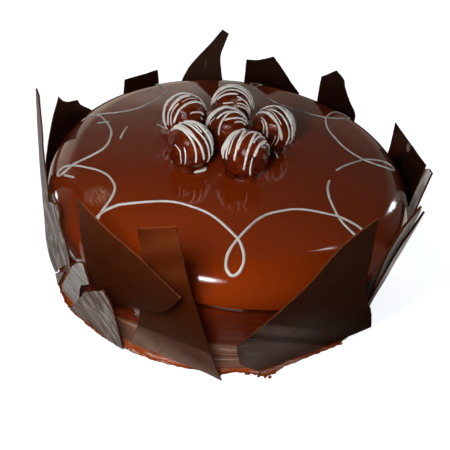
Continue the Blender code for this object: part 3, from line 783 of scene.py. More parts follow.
def sheet_finish(key):
    """Tempered dark chocolate cast on film: satin streaks, some bloom, much painted sheen.

    Patterns follow the sheet through its UV map, in which one unit is 100 mm.
    """
    finish = FINISHES[key]
    base = finish["base"]
    turn, streak, amount, sharp = finish["streaks"]
    rough = finish["rough"]
    made, tree, shader = new_material("tempered_chocolate_" + key, base, rough,
                                      ior=finish.get("ior", 1.45))
    place = add(tree, "ShaderNodeUVMap", uv_map="sheet").outputs["UV"]

    def along(across, up, offset=0.0):
        """Return across * u + up * v + offset, in millimetres."""
        dot = add(tree, "ShaderNodeVectorMath", {
            0: place, 1: (across * UV_UNIT, up * UV_UNIT, 0.0)}, operation="DOT_PRODUCT")
        return maths(tree, "ADD", dot.outputs["Value"], offset)

    def drawn(length, width, shift, detail, roughness, distortion):
        """Return noise drawn out along the streaks, its features length by width mm."""
        mapped = add(tree, "ShaderNodeMapping", {
            "Vector": place, "Location": shift, "Rotation": (0.0, 0.0, math.radians(turn)),
            "Scale": (length / UV_UNIT, width / UV_UNIT, 1.0)}, vector_type="TEXTURE")
        made = add(tree, "ShaderNodeTexNoise", {
            "Vector": mapped.outputs[0], "Scale": 1.0, "Detail": detail, "Roughness": roughness,
            "Distortion": distortion})
        return made.outputs["Fac"]

    streaks = drawn(25, 3, (0.0, 0.0, 0.0), 6.0, 0.66, 0.5)
    coarse = finish.get("grain", 0.3)
    waver = maths(tree, "MULTIPLY_ADD", streaks, 16.0 * coarse, -8.0 * coarse)
    colour = base
    # Blotches over the face; on the pale sheets they break up the painted sheen.
    for step, code in enumerate(finish.get("patches", ())):
        worn = drawn(18, 5, (0.3 + step, 0.7, 0.0), 5.0, 0.7, 0.4)
        colour = blend(tree, remap(tree, worn, 0.47, 0.6, 0.0, 0.9, True), colour, code)
    # Zones and spots: mostly painted reflection of the floor and painted highlights.
    for slope, low, high, soft, fade, code, share in finish.get("zones", []):
        level = maths(tree, "ADD", along(slope, 1.0), waver)
        painted = maths(tree, "MULTIPLY",
                        remap(tree, level, low - soft, low + soft, 0.0, share, True),
                        remap(tree, level, high + soft, high - soft, smooth=True))
        if fade:
            fading = remap(tree, along(1.0, 0.0), *fade, smooth=True)
            painted = maths(tree, "MULTIPLY", painted, fading)
        colour = blend(tree, painted, colour, code)
    share = remap(tree, streaks, 0.45, 0.72 - 0.2 * sharp, 0.0, amount)
    colour = blend(tree, share, colour, streak)
    for u, v, half_length, half_width, tilt, code, share in finish.get("spots", []):
        c = math.cos(math.radians(tilt))
        d = math.sin(math.radians(tilt))
        long = along(c / half_length, d / half_length, -(u * c + v * d) / half_length)
        wide = along(-d / half_width, c / half_width, (u * d - v * c) / half_width)
        far = maths(tree, "ADD", maths(tree, "MULTIPLY", long, long),
                    maths(tree, "MULTIPLY", wide, wide))
        ragged = maths(tree, "ADD", far, waver)
        colour = blend(tree, remap(tree, ragged, 1.2, 0.0, 0.0, share, True), colour, code)
    clouds = add(tree, "ShaderNodeTexNoise", {"Vector": place, "Scale": 9.0, "Detail": 3.0})
    shade = remap(tree, clouds.outputs["Fac"], 0.45, 0.75, 0.0, 0.4)
    colour = blend(tree, shade, colour, darker(linear(base), 0.6))
    satin = remap(tree, streaks, 0.3, 0.7, rough - 0.25 * coarse, rough + 0.3 * coarse)
    fill(tree, shader, {"Base Color": colour, "Roughness": satin,
                        "Normal": bumps(tree, streaks, coarse, 0.12)})
    return made


# Piped lines and crumbs by Geometry Nodes.


def new_tree(name, inputs):
    """Make a geometry tree that takes a path, the inputs and a material.

    Returns the tree, the sockets of what it is given and the points of the path a step apart.
    """
    tree = bpy.data.node_groups.new(name, "GeometryNodeTree")
    tree.interface.new_socket("Geometry", in_out="OUTPUT", socket_type="NodeSocketGeometry")
    for key, kind in (("Geometry", "Geometry"), ("Step", "Float"), *inputs,
                      ("Material", "Material")):
        tree.interface.new_socket(key, in_out="INPUT", socket_type="NodeSocket" + kind)
    given = add(tree, "NodeGroupInput").outputs
    even = add(tree, "GeometryNodeResampleCurve", {
        "Curve": given["Geometry"], "Length": given["Step"]}, mode="LENGTH")
    return tree, given, even.outputs[0]


def send_out(tree, given, shape):
    """Shade a tree's shape smooth, give it the material and send it out."""
    smooth = add(tree, "GeometryNodeSetShadeSmooth", {"Geometry": shape})
    painted = add(tree, "GeometryNodeSetMaterial", {
        "Geometry": smooth.outputs[0], "Material": given["Material"]})
    add(tree, "NodeGroupOutput", {0: painted.outputs[0]})


def piped_line_tree():
    """Build the tree that turns a path into a piped line of uneven width with rounded ends."""
    tree, given, even = new_tree("piped_line", (
        ("Wobble", "Float"), ("Wobble Size", "Float"), ("Seed", "Float"), ("Sides", "Int")))
    place = add(tree, "GeometryNodeInputPosition").outputs[0]
    uneven = add(tree, "ShaderNodeTexNoise", {
        "Vector": place, "W": given["Seed"], "Detail": 2.0,
        "Scale": maths(tree, "DIVIDE", 1.0, given["Wobble Size"])}, noise_dimensions="4D")
    centred = maths(tree, "SUBTRACT", uneven.outputs[0], 0.5)
    share = maths(tree, "MULTIPLY_ADD", centred, given["Wobble"], 1.0)
    drawn = add(tree, "GeometryNodeInputRadius").outputs[0]
    sized = add(tree, "GeometryNodeSetCurveRadius", {
        "Curve": even, "Radius": maths(tree, "MULTIPLY", drawn, share)})
    section = add(tree, "GeometryNodeCurvePrimitiveCircle", {
        "Resolution": given["Sides"], "Radius": 1.0})
    tube = add(tree, "GeometryNodeCurveToMesh", {
        "Curve": sized.outputs[0], "Profile Curve": section.outputs[0], "Fill Caps": True,
        "Scale": drawn})
    send_out(tree, given, tube.outputs[0])
    return tree


def crumb_tree():
    """Build the tree that strews small uneven crumbs along a path."""
    tree, given, even = new_tree("crumbs_on_path", (
        ("Smallest", "Float"), ("Largest", "Float"), ("Spread", "Float"), ("Share", "Float"),
        ("Seed", "Int")))

    def drawn(least, most):
        """Return a vector drawn at random between two vectors for each crumb."""
        return add(tree, "FunctionNodeRandomValue", {0: least, 1: most, "Seed": given["Seed"]},
                   data_type="FLOAT_VECTOR").outputs[0]

    spots = add(tree, "GeometryNodeCurveToPoints", {"Curve": even}, mode="EVALUATED")
    spread = given["Spread"]
    back = maths(tree, "MULTIPLY", spread, -1.0)
    low = add(tree, "ShaderNodeCombineXYZ", {0: back, 1: back})
    high = add(tree, "ShaderNodeCombineXYZ", {0: spread, 1: spread, 2: given["Largest"]})
    moved = add(tree, "GeometryNodeSetPosition", {
        "Geometry": spots.outputs[0], "Offset": drawn(low.outputs[0], high.outputs[0])})
    lump = add(tree, "GeometryNodeMeshIcoSphere", {"Radius": 1.0, "Subdivisions": 2})
    chosen = add(tree, "FunctionNodeRandomValue", {
        "Probability": given["Share"], "Seed": given["Seed"]}, data_type="BOOLEAN")
    strewn = add(tree, "GeometryNodeInstanceOnPoints", {
        "Points": moved.outputs[0], "Selection": chosen.outputs[3], "Instance": lump.outputs[0],
        "Rotation": drawn((0.0, 0.0, 0.0), (6.28, 6.28, 6.28)),
        "Scale": drawn(given["Smallest"], given["Largest"])})
    real = add(tree, "GeometryNodeRealizeInstances", {"Geometry": strewn.outputs[0]})
    uneven = add(tree, "ShaderNodeTexNoise", {"Scale": per_mm(0.9), "Detail": 1.0})
    middle = add(tree, "ShaderNodeVectorMath", {0: uneven.outputs["Color"], 1: (0.5, 0.5, 0.5)},
                 operation="SUBTRACT")
    push = add(tree, "ShaderNodeVectorMath", {0: middle.outputs[0], "Scale": 0.5 * MM},
               operation="SCALE")
    rough = add(tree, "GeometryNodeSetPosition", {
        "Geometry": real.outputs[0], "Offset": push.outputs[0]})
    send_out(tree, given, rough.outputs[0])
    return tree


def strew(name, paths, material, step, smallest, largest, spread, share, seed):
    """Strew crumbs along paths of points in millimetres and return one plain mesh."""
    tree = bpy.data.node_groups.get("crumbs_on_path") or crumb_tree()
    values = {"Step": step * MM, "Smallest": smallest * MM, "Largest": largest * MM,
              "Spread": spread * MM, "Share": share, "Seed": seed, "Material": material}
    made = grow(name, [[(spot, 1.0) for spot in path] for path in paths], tree, values)
    # What would lie under the floor is flattened onto it.
    for vertex in made.data.vertices:
        vertex.co.z = max(vertex.co.z, 0.0)
    return made


def pipe(name, paths, material, step, wobble, wobble_size, seed=1.0):
    """Pipe lines along paths of (point, half width) in millimetres and return one plain mesh."""
    tree = bpy.data.node_groups.get("piped_line") or piped_line_tree()
    values = {"Step": step * MM, "Wobble": wobble, "Wobble Size": wobble_size * MM, "Seed": seed,
              "Sides": LINE_SIDES, "Material": material}
    return grow(name, paths, tree, values)


def grow(name, paths, tree, values):
    """Run a tree over a curve made of paths and return its geometry as one plain mesh."""
    curve = bpy.data.curves.new(name + "_path", "CURVE")
    curve.dimensions = "3D"
    for path in paths:
        spline = curve.splines.new("POLY")
        spline.points.add(len(path) - 1)
        for point, (place, half) in zip(spline.points, path):
            point.co = (*(place * MM), 1.0)
            point.radius = half * MM
    guide = bpy.data.objects.new(name + "_path", curve)
    bpy.context.scene.collection.objects.link(guide)
    modifier = guide.modifiers.new("grown", "NODES")
    modifier.node_group = tree
    for socket in tree.interface.items_tree:
        if socket.in_out == "INPUT" and socket.name in values:
            modifier[socket.identifier] = values[socket.name]
    depsgraph = bpy.context.evaluated_depsgraph_get()
    depsgraph.update()
    mesh = bpy.data.meshes.new_from_object(guide.evaluated_get(depsgraph), depsgraph=depsgraph)
    if not mesh.polygons:
        raise RuntimeError(name + " came out empty")
    mesh.name = name
    made = bpy.data.objects.new(name, mesh)
    bpy.context.scene.collection.objects.link(made)
    guide.modifiers.clear()
    bpy.data.objects.remove(guide, do_unlink=True)
    if not mesh.materials:
        mesh.materials.append(values["Material"])
    return made


def rounded(path, radius_at):
    """Return a path of points with half widths that close in a round end."""
    lengths = [0.0]
    for a, b in zip(path, path[1:]):
        lengths.append(lengths[-1] + (b - a).length)
    total = lengths[-1]
    result = []
    for place, along in zip(path, lengths):
        half = radius_at(along / total)
        end = min(along, total - along)
        share = min(1.0, end / half)
        result.append((place, half * math.sqrt(max(0.02, 1 - (1 - share) ** 2))))
    return result


def smoothed(points, step):
    """Return points about a step apart on a smooth curve through the given points."""
    result = []
    count = len(points)
    for k in range(count - 1):
        p0 = points[max(k - 1, 0)]
        p1 = points[k]
        p2 = points[k + 1]
        p3 = points[min(k + 2, count - 1)]
        pieces = max(1, math.ceil((p2 - p1).length / step))
        for i in range(pieces):
            t = i / pieces
            result.append(0.5 * (2 * p1 + (p2 - p0) * t + (2 * p0 - 5 * p1 + 4 * p2 - p3) * t * t
                                 + (3 * p1 - p0 - 3 * p2 + p3) * t ** 3))
    result.append(points[-1])
    return result


# Pieces.


def side_spot(azimuth, z, pitch, depth, combed):
    """Return the point of the combed side at an azimuth and a height."""
    drift = 0.5 * grain(turned(40, azimuth, z), 30.0, 11)
    wave = 0.5 - 0.5 * math.cos(2 * math.pi * (z + drift) / pitch)
    worn = 0.55 + 0.45 * grain(turned(104, azimuth, z * 2.5), 14.0, 7)
    upper = combed + hump(azimuth, *COMB_HIGHER) + 0.6 * grain(turned(104, azimuth, 0), 12.0, 15)
    low = 1.0 / (1.0 + math.exp((z - upper) * 4.0))
    soft = (0.12 * abs(grain(turned(30, azimuth, z * 1.3), 7.0, 9))
            + 0.05 * abs(grain(turned(60, azimuth, z * 6), 6.0, 14)))
    bulge = hump(azimuth, *BULGE, power=4) * clamped((38 - z) / 5)
    rise = clamped((z - 30) / 20)
    radius = BODY_RADIUS + bulge + rise - depth * wave * worn * low - soft
    height = z + 0.1 * grain(turned(104, azimuth, z), 5.0, 2)
    return turned(pressed(radius, azimuth, z), azimuth, height)


def hidden_rings(around, bend, lowest):
    """Return the rings over a height that bend inward under the glaze, from low to high."""
    rings = []
    for k in range(1, 6):
        angle = math.radians(18.0 * k)
        radius = GLAZE_INSIDE - INSIDE_BEND + bend * math.cos(angle)
        height = GLAZE_CEILING - INSIDE_BEND + bend * math.sin(angle)
        if height > lowest:
            rings.append([turned(radius, a, height) for a in around])
    return rings


class CAKE_OT_side(bpy.types.Operator):
    """Make the combed ganache side with its uneven foot."""

    bl_idname = "cake.side"
    bl_label = "Combed Side"

    def execute(self, context):
        """Build the side and let it stand for the cake's node."""
        settings = context.scene.cake_side
        pitch = settings.pitch / MM
        depth = settings.depth / MM
        combed = settings.combed / MM
        around = [360.0 * i / SIDE_SEGMENTS for i in range(SIDE_SEGMENTS)]
        edges = [foot_radius(a) for a in around]
        rings = []
        for height, share in FOOT_PROFILE:
            ring = []
            for a, edge in zip(around, edges):
                rise = 1 + 0.35 * grain(turned(106, a, height), 3.5, 17)
                ring.append(turned(edge - share * (edge - BODY_RADIUS + 0.5), a, height * rise))
            rings.append(ring)
        z = COMB_FROM
        while z < COMB_TO:
            rings.append([side_spot(a, z, pitch, depth, combed) for a in around])
            z += pitch / 4
        rings += hidden_rings(around, INSIDE_BEND - 0.4, COMB_TO + 0.5)
        made = ringed_object("side_combed", rings, combed_ganache(settings))
        finish_piece(made, "cake", "cake")
        return {"FINISHED"}


class CAKE_OT_foot(bpy.types.Operator):
    """Strew the crumbs of ganache along the foot."""

    bl_idname = "cake.foot"
    bl_label = "Foot Crumbs"

    def execute(self, context):
        """Strew wet crumbs where the foot meets the floor, and larger blobs at the front."""
        settings = context.scene.cake_side
        wet = pressed_ganache(settings)
        path = [turned(foot_radius(0.5 * k) - 0.4, 0.5 * k, 0.55) for k in range(721)]
        made = strew("crumbs_foot", [path], wet, step=0.9, smallest=0.25, largest=0.75, spread=0.5,
                     share=0.75, seed=5)
        finish_piece(made, "cake")
        blobs = []
        for azimuth, radius in BLOBS:
            spot = turned(radius, azimuth, 0.7)
            blobs.append([spot, spot + Vector((0.9, 0.3, 0.3))])
        made = strew("blobs_foot", blobs, wet, step=0.5, smallest=0.6, largest=1.3, spread=0.4,
                     share=1.0, seed=9)
        finish_piece(made, "cake")
        return {"FINISHED"}


def top_relief(x, y, settings):
    """Return the small height of the poured top: slow waves and the puddle round the truffles."""
    wave = settings.wave / MM
    puddle = settings.puddle / MM
    height = wave * grain((x, y, 0), 26.0, 4) + 0.25 * wave * grain((x, y, 0), 8.0, 6)
    # The glaze is pushed up against a truffle's foot, and fainter in a ripple farther out.
    for tx, ty, radius, _ in TRUFFLES.values():
        off = math.hypot(x - tx, y - ty) - radius * 0.86
        if off > 14:
            continue
        uneven = 0.75 + 0.5 * grain((x, y, 0), 6.0, 8)
        height += puddle * uneven * math.exp(-(max(off, 0.0) / 2.2) ** 2)
        ripple = off - 5.5 - 2.0 * grain((x, y, 0), 9.0, 12)
        height += 0.4 * puddle * uneven * math.exp(-(ripple / 1.1) ** 2)
    return height


class CAKE_OT_glaze(bpy.types.Operator):
    """Make the poured glaze with its round shoulder and uneven lip."""

    bl_idname = "cake.glaze"
    bl_label = "Poured Glaze"

    def execute(self, context):
        """Build the glaze and let it stand for the glaze's node."""
        settings = context.scene.cake_glaze
        around = [360.0 * i / GLAZE_SEGMENTS for i in range(GLAZE_SEGMENTS)]
        shoulder_low = GLAZE_TOP - GLAZE_DOME - SHOULDER
        rings = hidden_rings(around, INSIDE_BEND, COMB_TO + 1.5)[::-1]
        lows = [eased(LIP_HEIGHTS, a) + 0.5 * grain(turned(106, a, 0), 7.0, 21)
                + 0.2 * grain(turned(106, a, 0), 2.5, 23) for a in around]
        rings.append([turned(GLAZE_INSIDE, a, low + 3.0) for a, low in zip(around, lows)])
        for share, rise in LIP_PROFILE:
            ring = []
            for a, low in zip(around, lows):
                edge = pressed(glaze_radius(a) - TAPER, a, low + LIP)
                ring.append(turned(GLAZE_INSIDE + (edge - GLAZE_INSIDE) * share, a, low + rise))
            rings.append(ring)
        # The side goes up to the shoulder, or a little way where the lip is higher than that.
        stops = [max(shoulder_low, low + LIP + 1.5) for low in lows]
        for k in range(1, SIDE_STEPS):
            ring = []
            for a, low, stop in zip(around, lows, stops):
                start = low + LIP
                z = start + (stop - start) * k / SIDE_STEPS
                taper = TAPER * (1 - min(1.0, (z - start) / 14.0)) ** 2
                radius = pressed(shoulder_radius(z, a) - taper, a, z)
                radius -= 0.12 * abs(grain(turned(109, a, z), 11.0, 31)) + 0.02
                ring.append(turned(radius, a, z))
            rings.append(ring)
        # Over the shoulder the height of the top's waves fades in.
        for k in range(SHOULDER_STEPS + 1):
            ring = []
            for a, stop in zip(around, stops):
                first = math.asin(min(1.0, (stop - shoulder_low) / SHOULDER))
                tilt = first + (math.pi / 2 - first) * k / SHOULDER_STEPS
                radius = glaze_radius(a) - SHOULDER * (1 - math.cos(tilt))
                z = shoulder_low + SHOULDER * math.sin(tilt)
                less = 0.08 * abs(grain(turned(radius, a, z), 14.0, 33)) * math.cos(tilt)
                spot = turned(pressed(radius, a, z) - less, a, z)
                spot.z += top_relief(spot.x, spot.y, settings) * math.sin(tilt) ** 4
                ring.append(spot)
            rings.append(ring)
        # The top goes in from the shoulder to the middle.
        radius = GLAZE_RADIUS - SHOULDER - 1.2
        while radius > 1.0:
            ring = []
            for a in around:
                out = radius + (glaze_radius(a) - GLAZE_RADIUS) * radius / GLAZE_RADIUS
                spot = turned(out, a, glaze_surface(out, glaze_radius(a))[0])
                spot.z += top_relief(spot.x, spot.y, settings)
                ring.append(spot)
            rings.append(ring)
            radius -= TOP_STEP
        made = ringed_object("glaze_poured", rings, mirror_glaze(settings))
        finish_piece(made, "glaze", "glaze")
        return {"FINISHED"}


def shoulder_radius(z, azimuth):
    """Return the radius of the glaze at a height on its side or shoulder."""
    low = GLAZE_TOP - GLAZE_DOME - SHOULDER
    if z <= low:
        return glaze_radius(azimuth)
    rise = min(1.0, (z - low) / SHOULDER)
    return glaze_radius(azimuth) - SHOULDER * (1 - math.sqrt(1 - rise * rise))


def loop_half(joint, leaving, steps):
    """Return half of a joint's loop as radius and azimuth, from crossing to tip or back."""
    at, arrive, leave, tip, turn, half = joint
    cross = leave if leaving else arrive
    run = []
    for k in range(steps + 1):
        share = k / steps
        t = math.pi * (1 + share) if leaving else math.pi * share
        reach = (1 - math.cos(t)) / 2
        radius = cross + (tip - cross) * reach
        # The product of the sines is 0.77 at most.
        aside = half * math.sin(t) * math.sin(t / 2) / 0.77
        run.append((radius, at + turn * reach + math.degrees(aside / radius)))
    return run


def scallop(joint, following, valley, first=0.0, last=1.0, steps=24):
    """Return the scallop between two joints as radius and azimuth."""
    start = joint[0]
    end = following[0] + (360 if following[0] < start else 0)
    run = []
    for k in range(steps + 1):
        t = first + (last - first) * k / steps
        rim = joint[2] if t < 0.5 else following[1]
        radius = valley + (rim - valley) * abs(2 * t - 1) ** SCROLL_POWER
        run.append((radius, start + (end - start) * t))
    return run


def scroll_lines():
    """Return the scroll as unbroken lines of radius and azimuth."""
    count = len(JOINTS)
    lines = []
    current = []
    for step in range(count):
        k = (BREAK_AFTER + step) % count
        joint = JOINTS[k]
        following = JOINTS[(k + 1) % count]
        valley = VALLEYS[k]
        loop_in = loop_half(following, False, 9)
        if step == 0:
            current = scallop(joint, following, valley, BREAK[1], 1, 10) + loop_in[1:]
            continue
        current += loop_half(joint, True, 9)[1:]
        if valley is None:
            lines.append(current)
            current = list(loop_in)
            continue
        current += scallop(joint, following, valley)[1:] + loop_in[1:]
    joint = JOINTS[BREAK_AFTER]
    current += loop_half(joint, True, 9)[1:]
    current += scallop(joint, JOINTS[BREAK_AFTER + 1], VALLEYS[BREAK_AFTER], 0, BREAK[0], 14)[1:]
    lines.append(current)
    for start, end in DASHES:
        lines.append([(start[0] + (end[0] - start[0]) * t, start[1] + (end[1] - start[1]) * t)
                      for t in (0, 0.33, 0.67, 1)])
    return lines


class CAKE_OT_scroll(bpy.types.Operator):
    """Pipe the white scroll and its dashes on the glaze."""

    bl_idname = "cake.scroll"
    bl_label = "Piped Scroll"

    def execute(self, context):
        """Lay the lines on the glaze and pipe them."""
        settings = context.scene.cake_scroll
        front = settings.front / MM
        back = settings.back / MM
        sink = settings.sink / MM

        def half_at(y):
            """Return the half width of a line at a depth: it gets finer to the back."""
            return front + (back - front) * clamped((y + 90) / 180)

        paths = []
        for line in scroll_lines():
            spots = smoothed([turned(radius, azimuth, 0) for radius, azimuth in line], 1.2)
            laid = []
            for spot in spots:
                radius = spot.to_2d().length
                azimuth = math.degrees(math.atan2(spot.y, spot.x))
                z, tilt = glaze_surface(radius, glaze_radius(azimuth))
                normal = turned(math.sin(tilt), azimuth, math.cos(tilt))
                relief = top_relief(spot.x, spot.y, context.scene.cake_glaze) * math.cos(tilt)
                laid.append(turned(radius, azimuth, z + relief) - normal * sink)

            def width(share, laid=laid):
                """Return the half width of a line at a share of its length."""
                return half_at(laid[round(share * (len(laid) - 1))].y)

            if len(line) == DASH_POINTS:
                even = 0.9 * half_at(sum(spot.y for spot in laid) / len(laid))
                paths.append(rounded(laid, lambda share, even=even: even))
            else:
                paths.append(rounded(laid, width))
        white = white_chocolate("white_chocolate_piped", settings.colour)
        made = pipe("scroll_piped", paths, white, step=1.0, wobble=0.55, wobble_size=7.0)
        finish_piece(made, "glaze", "glaze")
        return {"FINISHED"}


def truffles():
    """Give each truffle's name, seed, middle, radius of the plain coat, radius and lines."""
    for order, (name, (x, y, radius, lines)) in enumerate(TRUFFLES.items()):
        centre = Vector((x, y, SEAT + SEAT_SHARE * radius))
        yield name, 10.0 + 7.0 * order, centre, radius - DRIZZLE, radius, lines


def lump(spot, seed):
    """Return how high the lumps of a truffle's coat are at a point, as a share."""
    return grain(spot, 6.0, seed) + 0.35 * grain(spot, 2.0, seed)


def coat_depth(name, ray):
    """Return how deep a dent is in the direction of a ray from the truffle's middle."""
    depth = 0.0
    for owner, azimuth, elevation, width, deep in DENTS:
        if owner != name:
            continue
        tilt = math.radians(elevation)
        middle = turned(math.cos(tilt), azimuth, math.sin(tilt))
        off = math.degrees(middle.angle(ray))
        ragged = off * (1 + 0.35 * grain(ray * 10, 2.5, width))
        depth += deep / (1 + math.exp((ragged - width) / 2.0))
    return depth


class CAKE_OT_truffles(bpy.types.Operator):
    """Make the truffles: lumpy coated balls whose coat has run out at the foot."""

    bl_idname = "cake.truffles"
    bl_label = "Truffles"

    def execute(self, context):
        """Build each ball and let it stand for its node."""
        settings = context.scene.cake_truffles
        lumps = settings.lumps / MM
        skirt = settings.skirt / MM
        coat = truffle_coat(settings)
        slices = BALL_SEGMENTS
        azimuths = [360.0 * i / slices for i in range(slices)]
        for name, seed, centre, plain, radius, _ in truffles():
            last = math.acos((NECK - SEAT_SHARE * radius) / plain)
            points = [centre + Vector((0, 0, plain))]
            for k in range(1, BALL_RINGS + 1):
                polar = last * k / BALL_RINGS
                for azimuth in azimuths:
                    ray = turned(math.sin(polar), azimuth, math.cos(polar))
                    size = plain + lumps * lump(centre + ray * plain, seed)
                    points.append(centre + ray * (size - coat_depth(name, ray)))
            neck_radius = plain * math.sin(last)
            for share, rise in SKIRT_PROFILE:
                for azimuth in azimuths:
                    around = turned(neck_radius, azimuth, 0) + centre
                    run = skirt * (0.8 + 0.7 * grain(around, 7.0, seed + 3)
                                   + 0.2 * grain(around, 3.0, seed + 5))
                    out = neck_radius - 0.3 + (run + 1.6) * share
                    bead = 0.16 * grain(around + Vector((0, 0, share * 5)), 3.0, seed + 9) * share
                    height = GLAZE_TOP + rise + max(0.0, bead) * (rise > 0)
                    points.append(turned(out, azimuth, height) + Vector((*centre.xy, 0)))
            # The rings follow the top point, from high to low, so their faces are turned over.
            rings = ring_faces(BALL_RINGS + len(SKIRT_PROFILE), slices, close_last=True)
            faces = [tuple(1 + corner for corner in (face[0], *face[:0:-1])) for face in rings]
            faces += [(0, 1 + i, 1 + (i + 1) % slices) for i in range(slices)]
            made = new_object(name.replace("truffle", "ball"), points, faces, [coat])
            finish_piece(made, "truffle", name)
        return {"FINISHED"}


class CAKE_OT_drizzle(bpy.types.Operator):
    """Pipe the white drizzle over the truffles."""

    bl_idname = "cake.drizzle"
    bl_label = "Drizzle"

    def execute(self, context):
        """Lay each ball's lines on its coat and pipe them."""
        settings = context.scene.cake_truffles
        lumps = settings.lumps / MM
        thin = settings.thinned
        white = white_chocolate("white_chocolate_drizzle", settings.drizzle)
        for name, seed, centre, plain, _, lines in truffles():
            paths = []
            for number, (azimuth, elevation, offset, first, last, half) in enumerate(lines):
                tilt = math.radians(elevation)
                axis = turned(math.cos(tilt), azimuth, math.sin(tilt))
                up = (Vector((0, 0, 1)) - axis * axis.z).normalized()
                aside = axis.cross(up)
                path = []
                steps = max(6, round((last - first) / 4))
                for k in range(steps + 1):
                    angle = first + (last - first) * k / steps
                    turn = math.radians(angle)
                    sway = offset + 0.03 * noise.noise(Vector((angle / 35, number * 3.1, seed)))
                    sway = max(-0.97, min(0.97, sway))
                    ray = axis * sway + (up * math.cos(turn) + aside * math.sin(turn)) * math.sqrt(
                        1 - sway * sway)
                    lift = lumps * lump(centre + ray * plain, seed)
                    lift = max(lift, 0.0) + 0.6 - half * thin
                    spot = centre + ray * (plain + lift)
                    spot.z = max(spot.z, GLAZE_TOP + 0.6)
                    path.append(spot)

                def width(share, half=half, number=number, seed=seed):
                    """Return the half width of the line at a share of its length."""
                    slow = noise.noise(Vector((share * 3.0, number * 5.3, seed)))
                    return half * thin * (1.0 + 0.25 * slow)

                paths.append(rounded(path, width))
            for owner, start, end, half in STRANDS:
                if owner == name:
                    spots = [Vector(start).lerp(Vector(end), k / 6) for k in range(7)]
                    paths.append(rounded(spots, lambda share, half=half: half * thin))
            made = pipe(name.replace("truffle", "drizzle"), paths, white, step=0.6, wobble=0.45,
                        wobble_size=2.5, seed=seed)
            finish_piece(made, "truffle", name)
        return {"FINISHED"}


def sheet_outline(sheet, rough, seed):
    """Return a sheet's outline with soft corners made round and broken edges made uneven."""
    corners = [Vector(c) for c in sheet.corners]
    count = len(corners)
    soft = []
    for i in range(count):
        before = corners[i] - corners[i - 1]
        after = corners[(i + 1) % count] - corners[i]
        soft.append(abs(before.angle_signed(after, 0.0)) < math.radians(SHARP_CORNER))
    outline = []
    for i in range(count):
        p1 = corners[i]
        p2 = corners[(i + 1) % count]
        p0 = corners[i - 1] if soft[i] else p1 * 2 - p2
        p3 = corners[(i + 2) % count] if soft[(i + 1) % count] else p2 * 2 - p1
        side = (p2 - p1).length
        slope_1 = (p2 - p0).normalized() * side
        slope_2 = (p3 - p1).normalized() * side
        pieces = max(1, round(side / OUTLINE_STEP))
        for k in range(pieces):
            t = k / pieces
            spot = (p1 * (2 * t ** 3 - 3 * t ** 2 + 1) + slope_1 * (t ** 3 - 2 * t ** 2 + t)
                    + p2 * (3 * t ** 2 - 2 * t ** 3) + slope_2 * (t ** 3 - t ** 2))
            outline.append(spot)
    result = []
    count = len(outline)
    for i, spot in enumerate(outline):
        along = (outline[(i + 1) % count] - outline[i - 1]).normalized()
        out = Vector((along.y, -along.x))
        # In a sharp corner the edge keeps clear of its other side.
        others = [outline[(i + k) % count] for k in range(2, count - 1)]
        room = min(1.0, min((other - spot).length for other in others) / 2.4)
        ragged = grain((spot.x, spot.y, 0), 5.0, seed) + 0.5 * grain((spot.x, spot.y, 0), 1.8, seed)
        shift = max(-0.6, min(0.3, rough * (ragged - 0.3)))
        result.append((spot + out * (shift * room), out * room))
    return result


def inside(point, outline):
    """Tell whether a point lies inside an outline, and clear of its edge."""
    within = False
    count = len(outline)
    for i in range(count):
        a = outline[i]
        b = outline[(i + 1) % count]
        if (a.y > point.y) != (b.y > point.y):
            if point.x < (b.x - a.x) * (point.y - a.y) / (b.y - a.y) + a.x:
                within = not within
        if (a - point).length < EDGE_CLEAR:
            return False
    return within


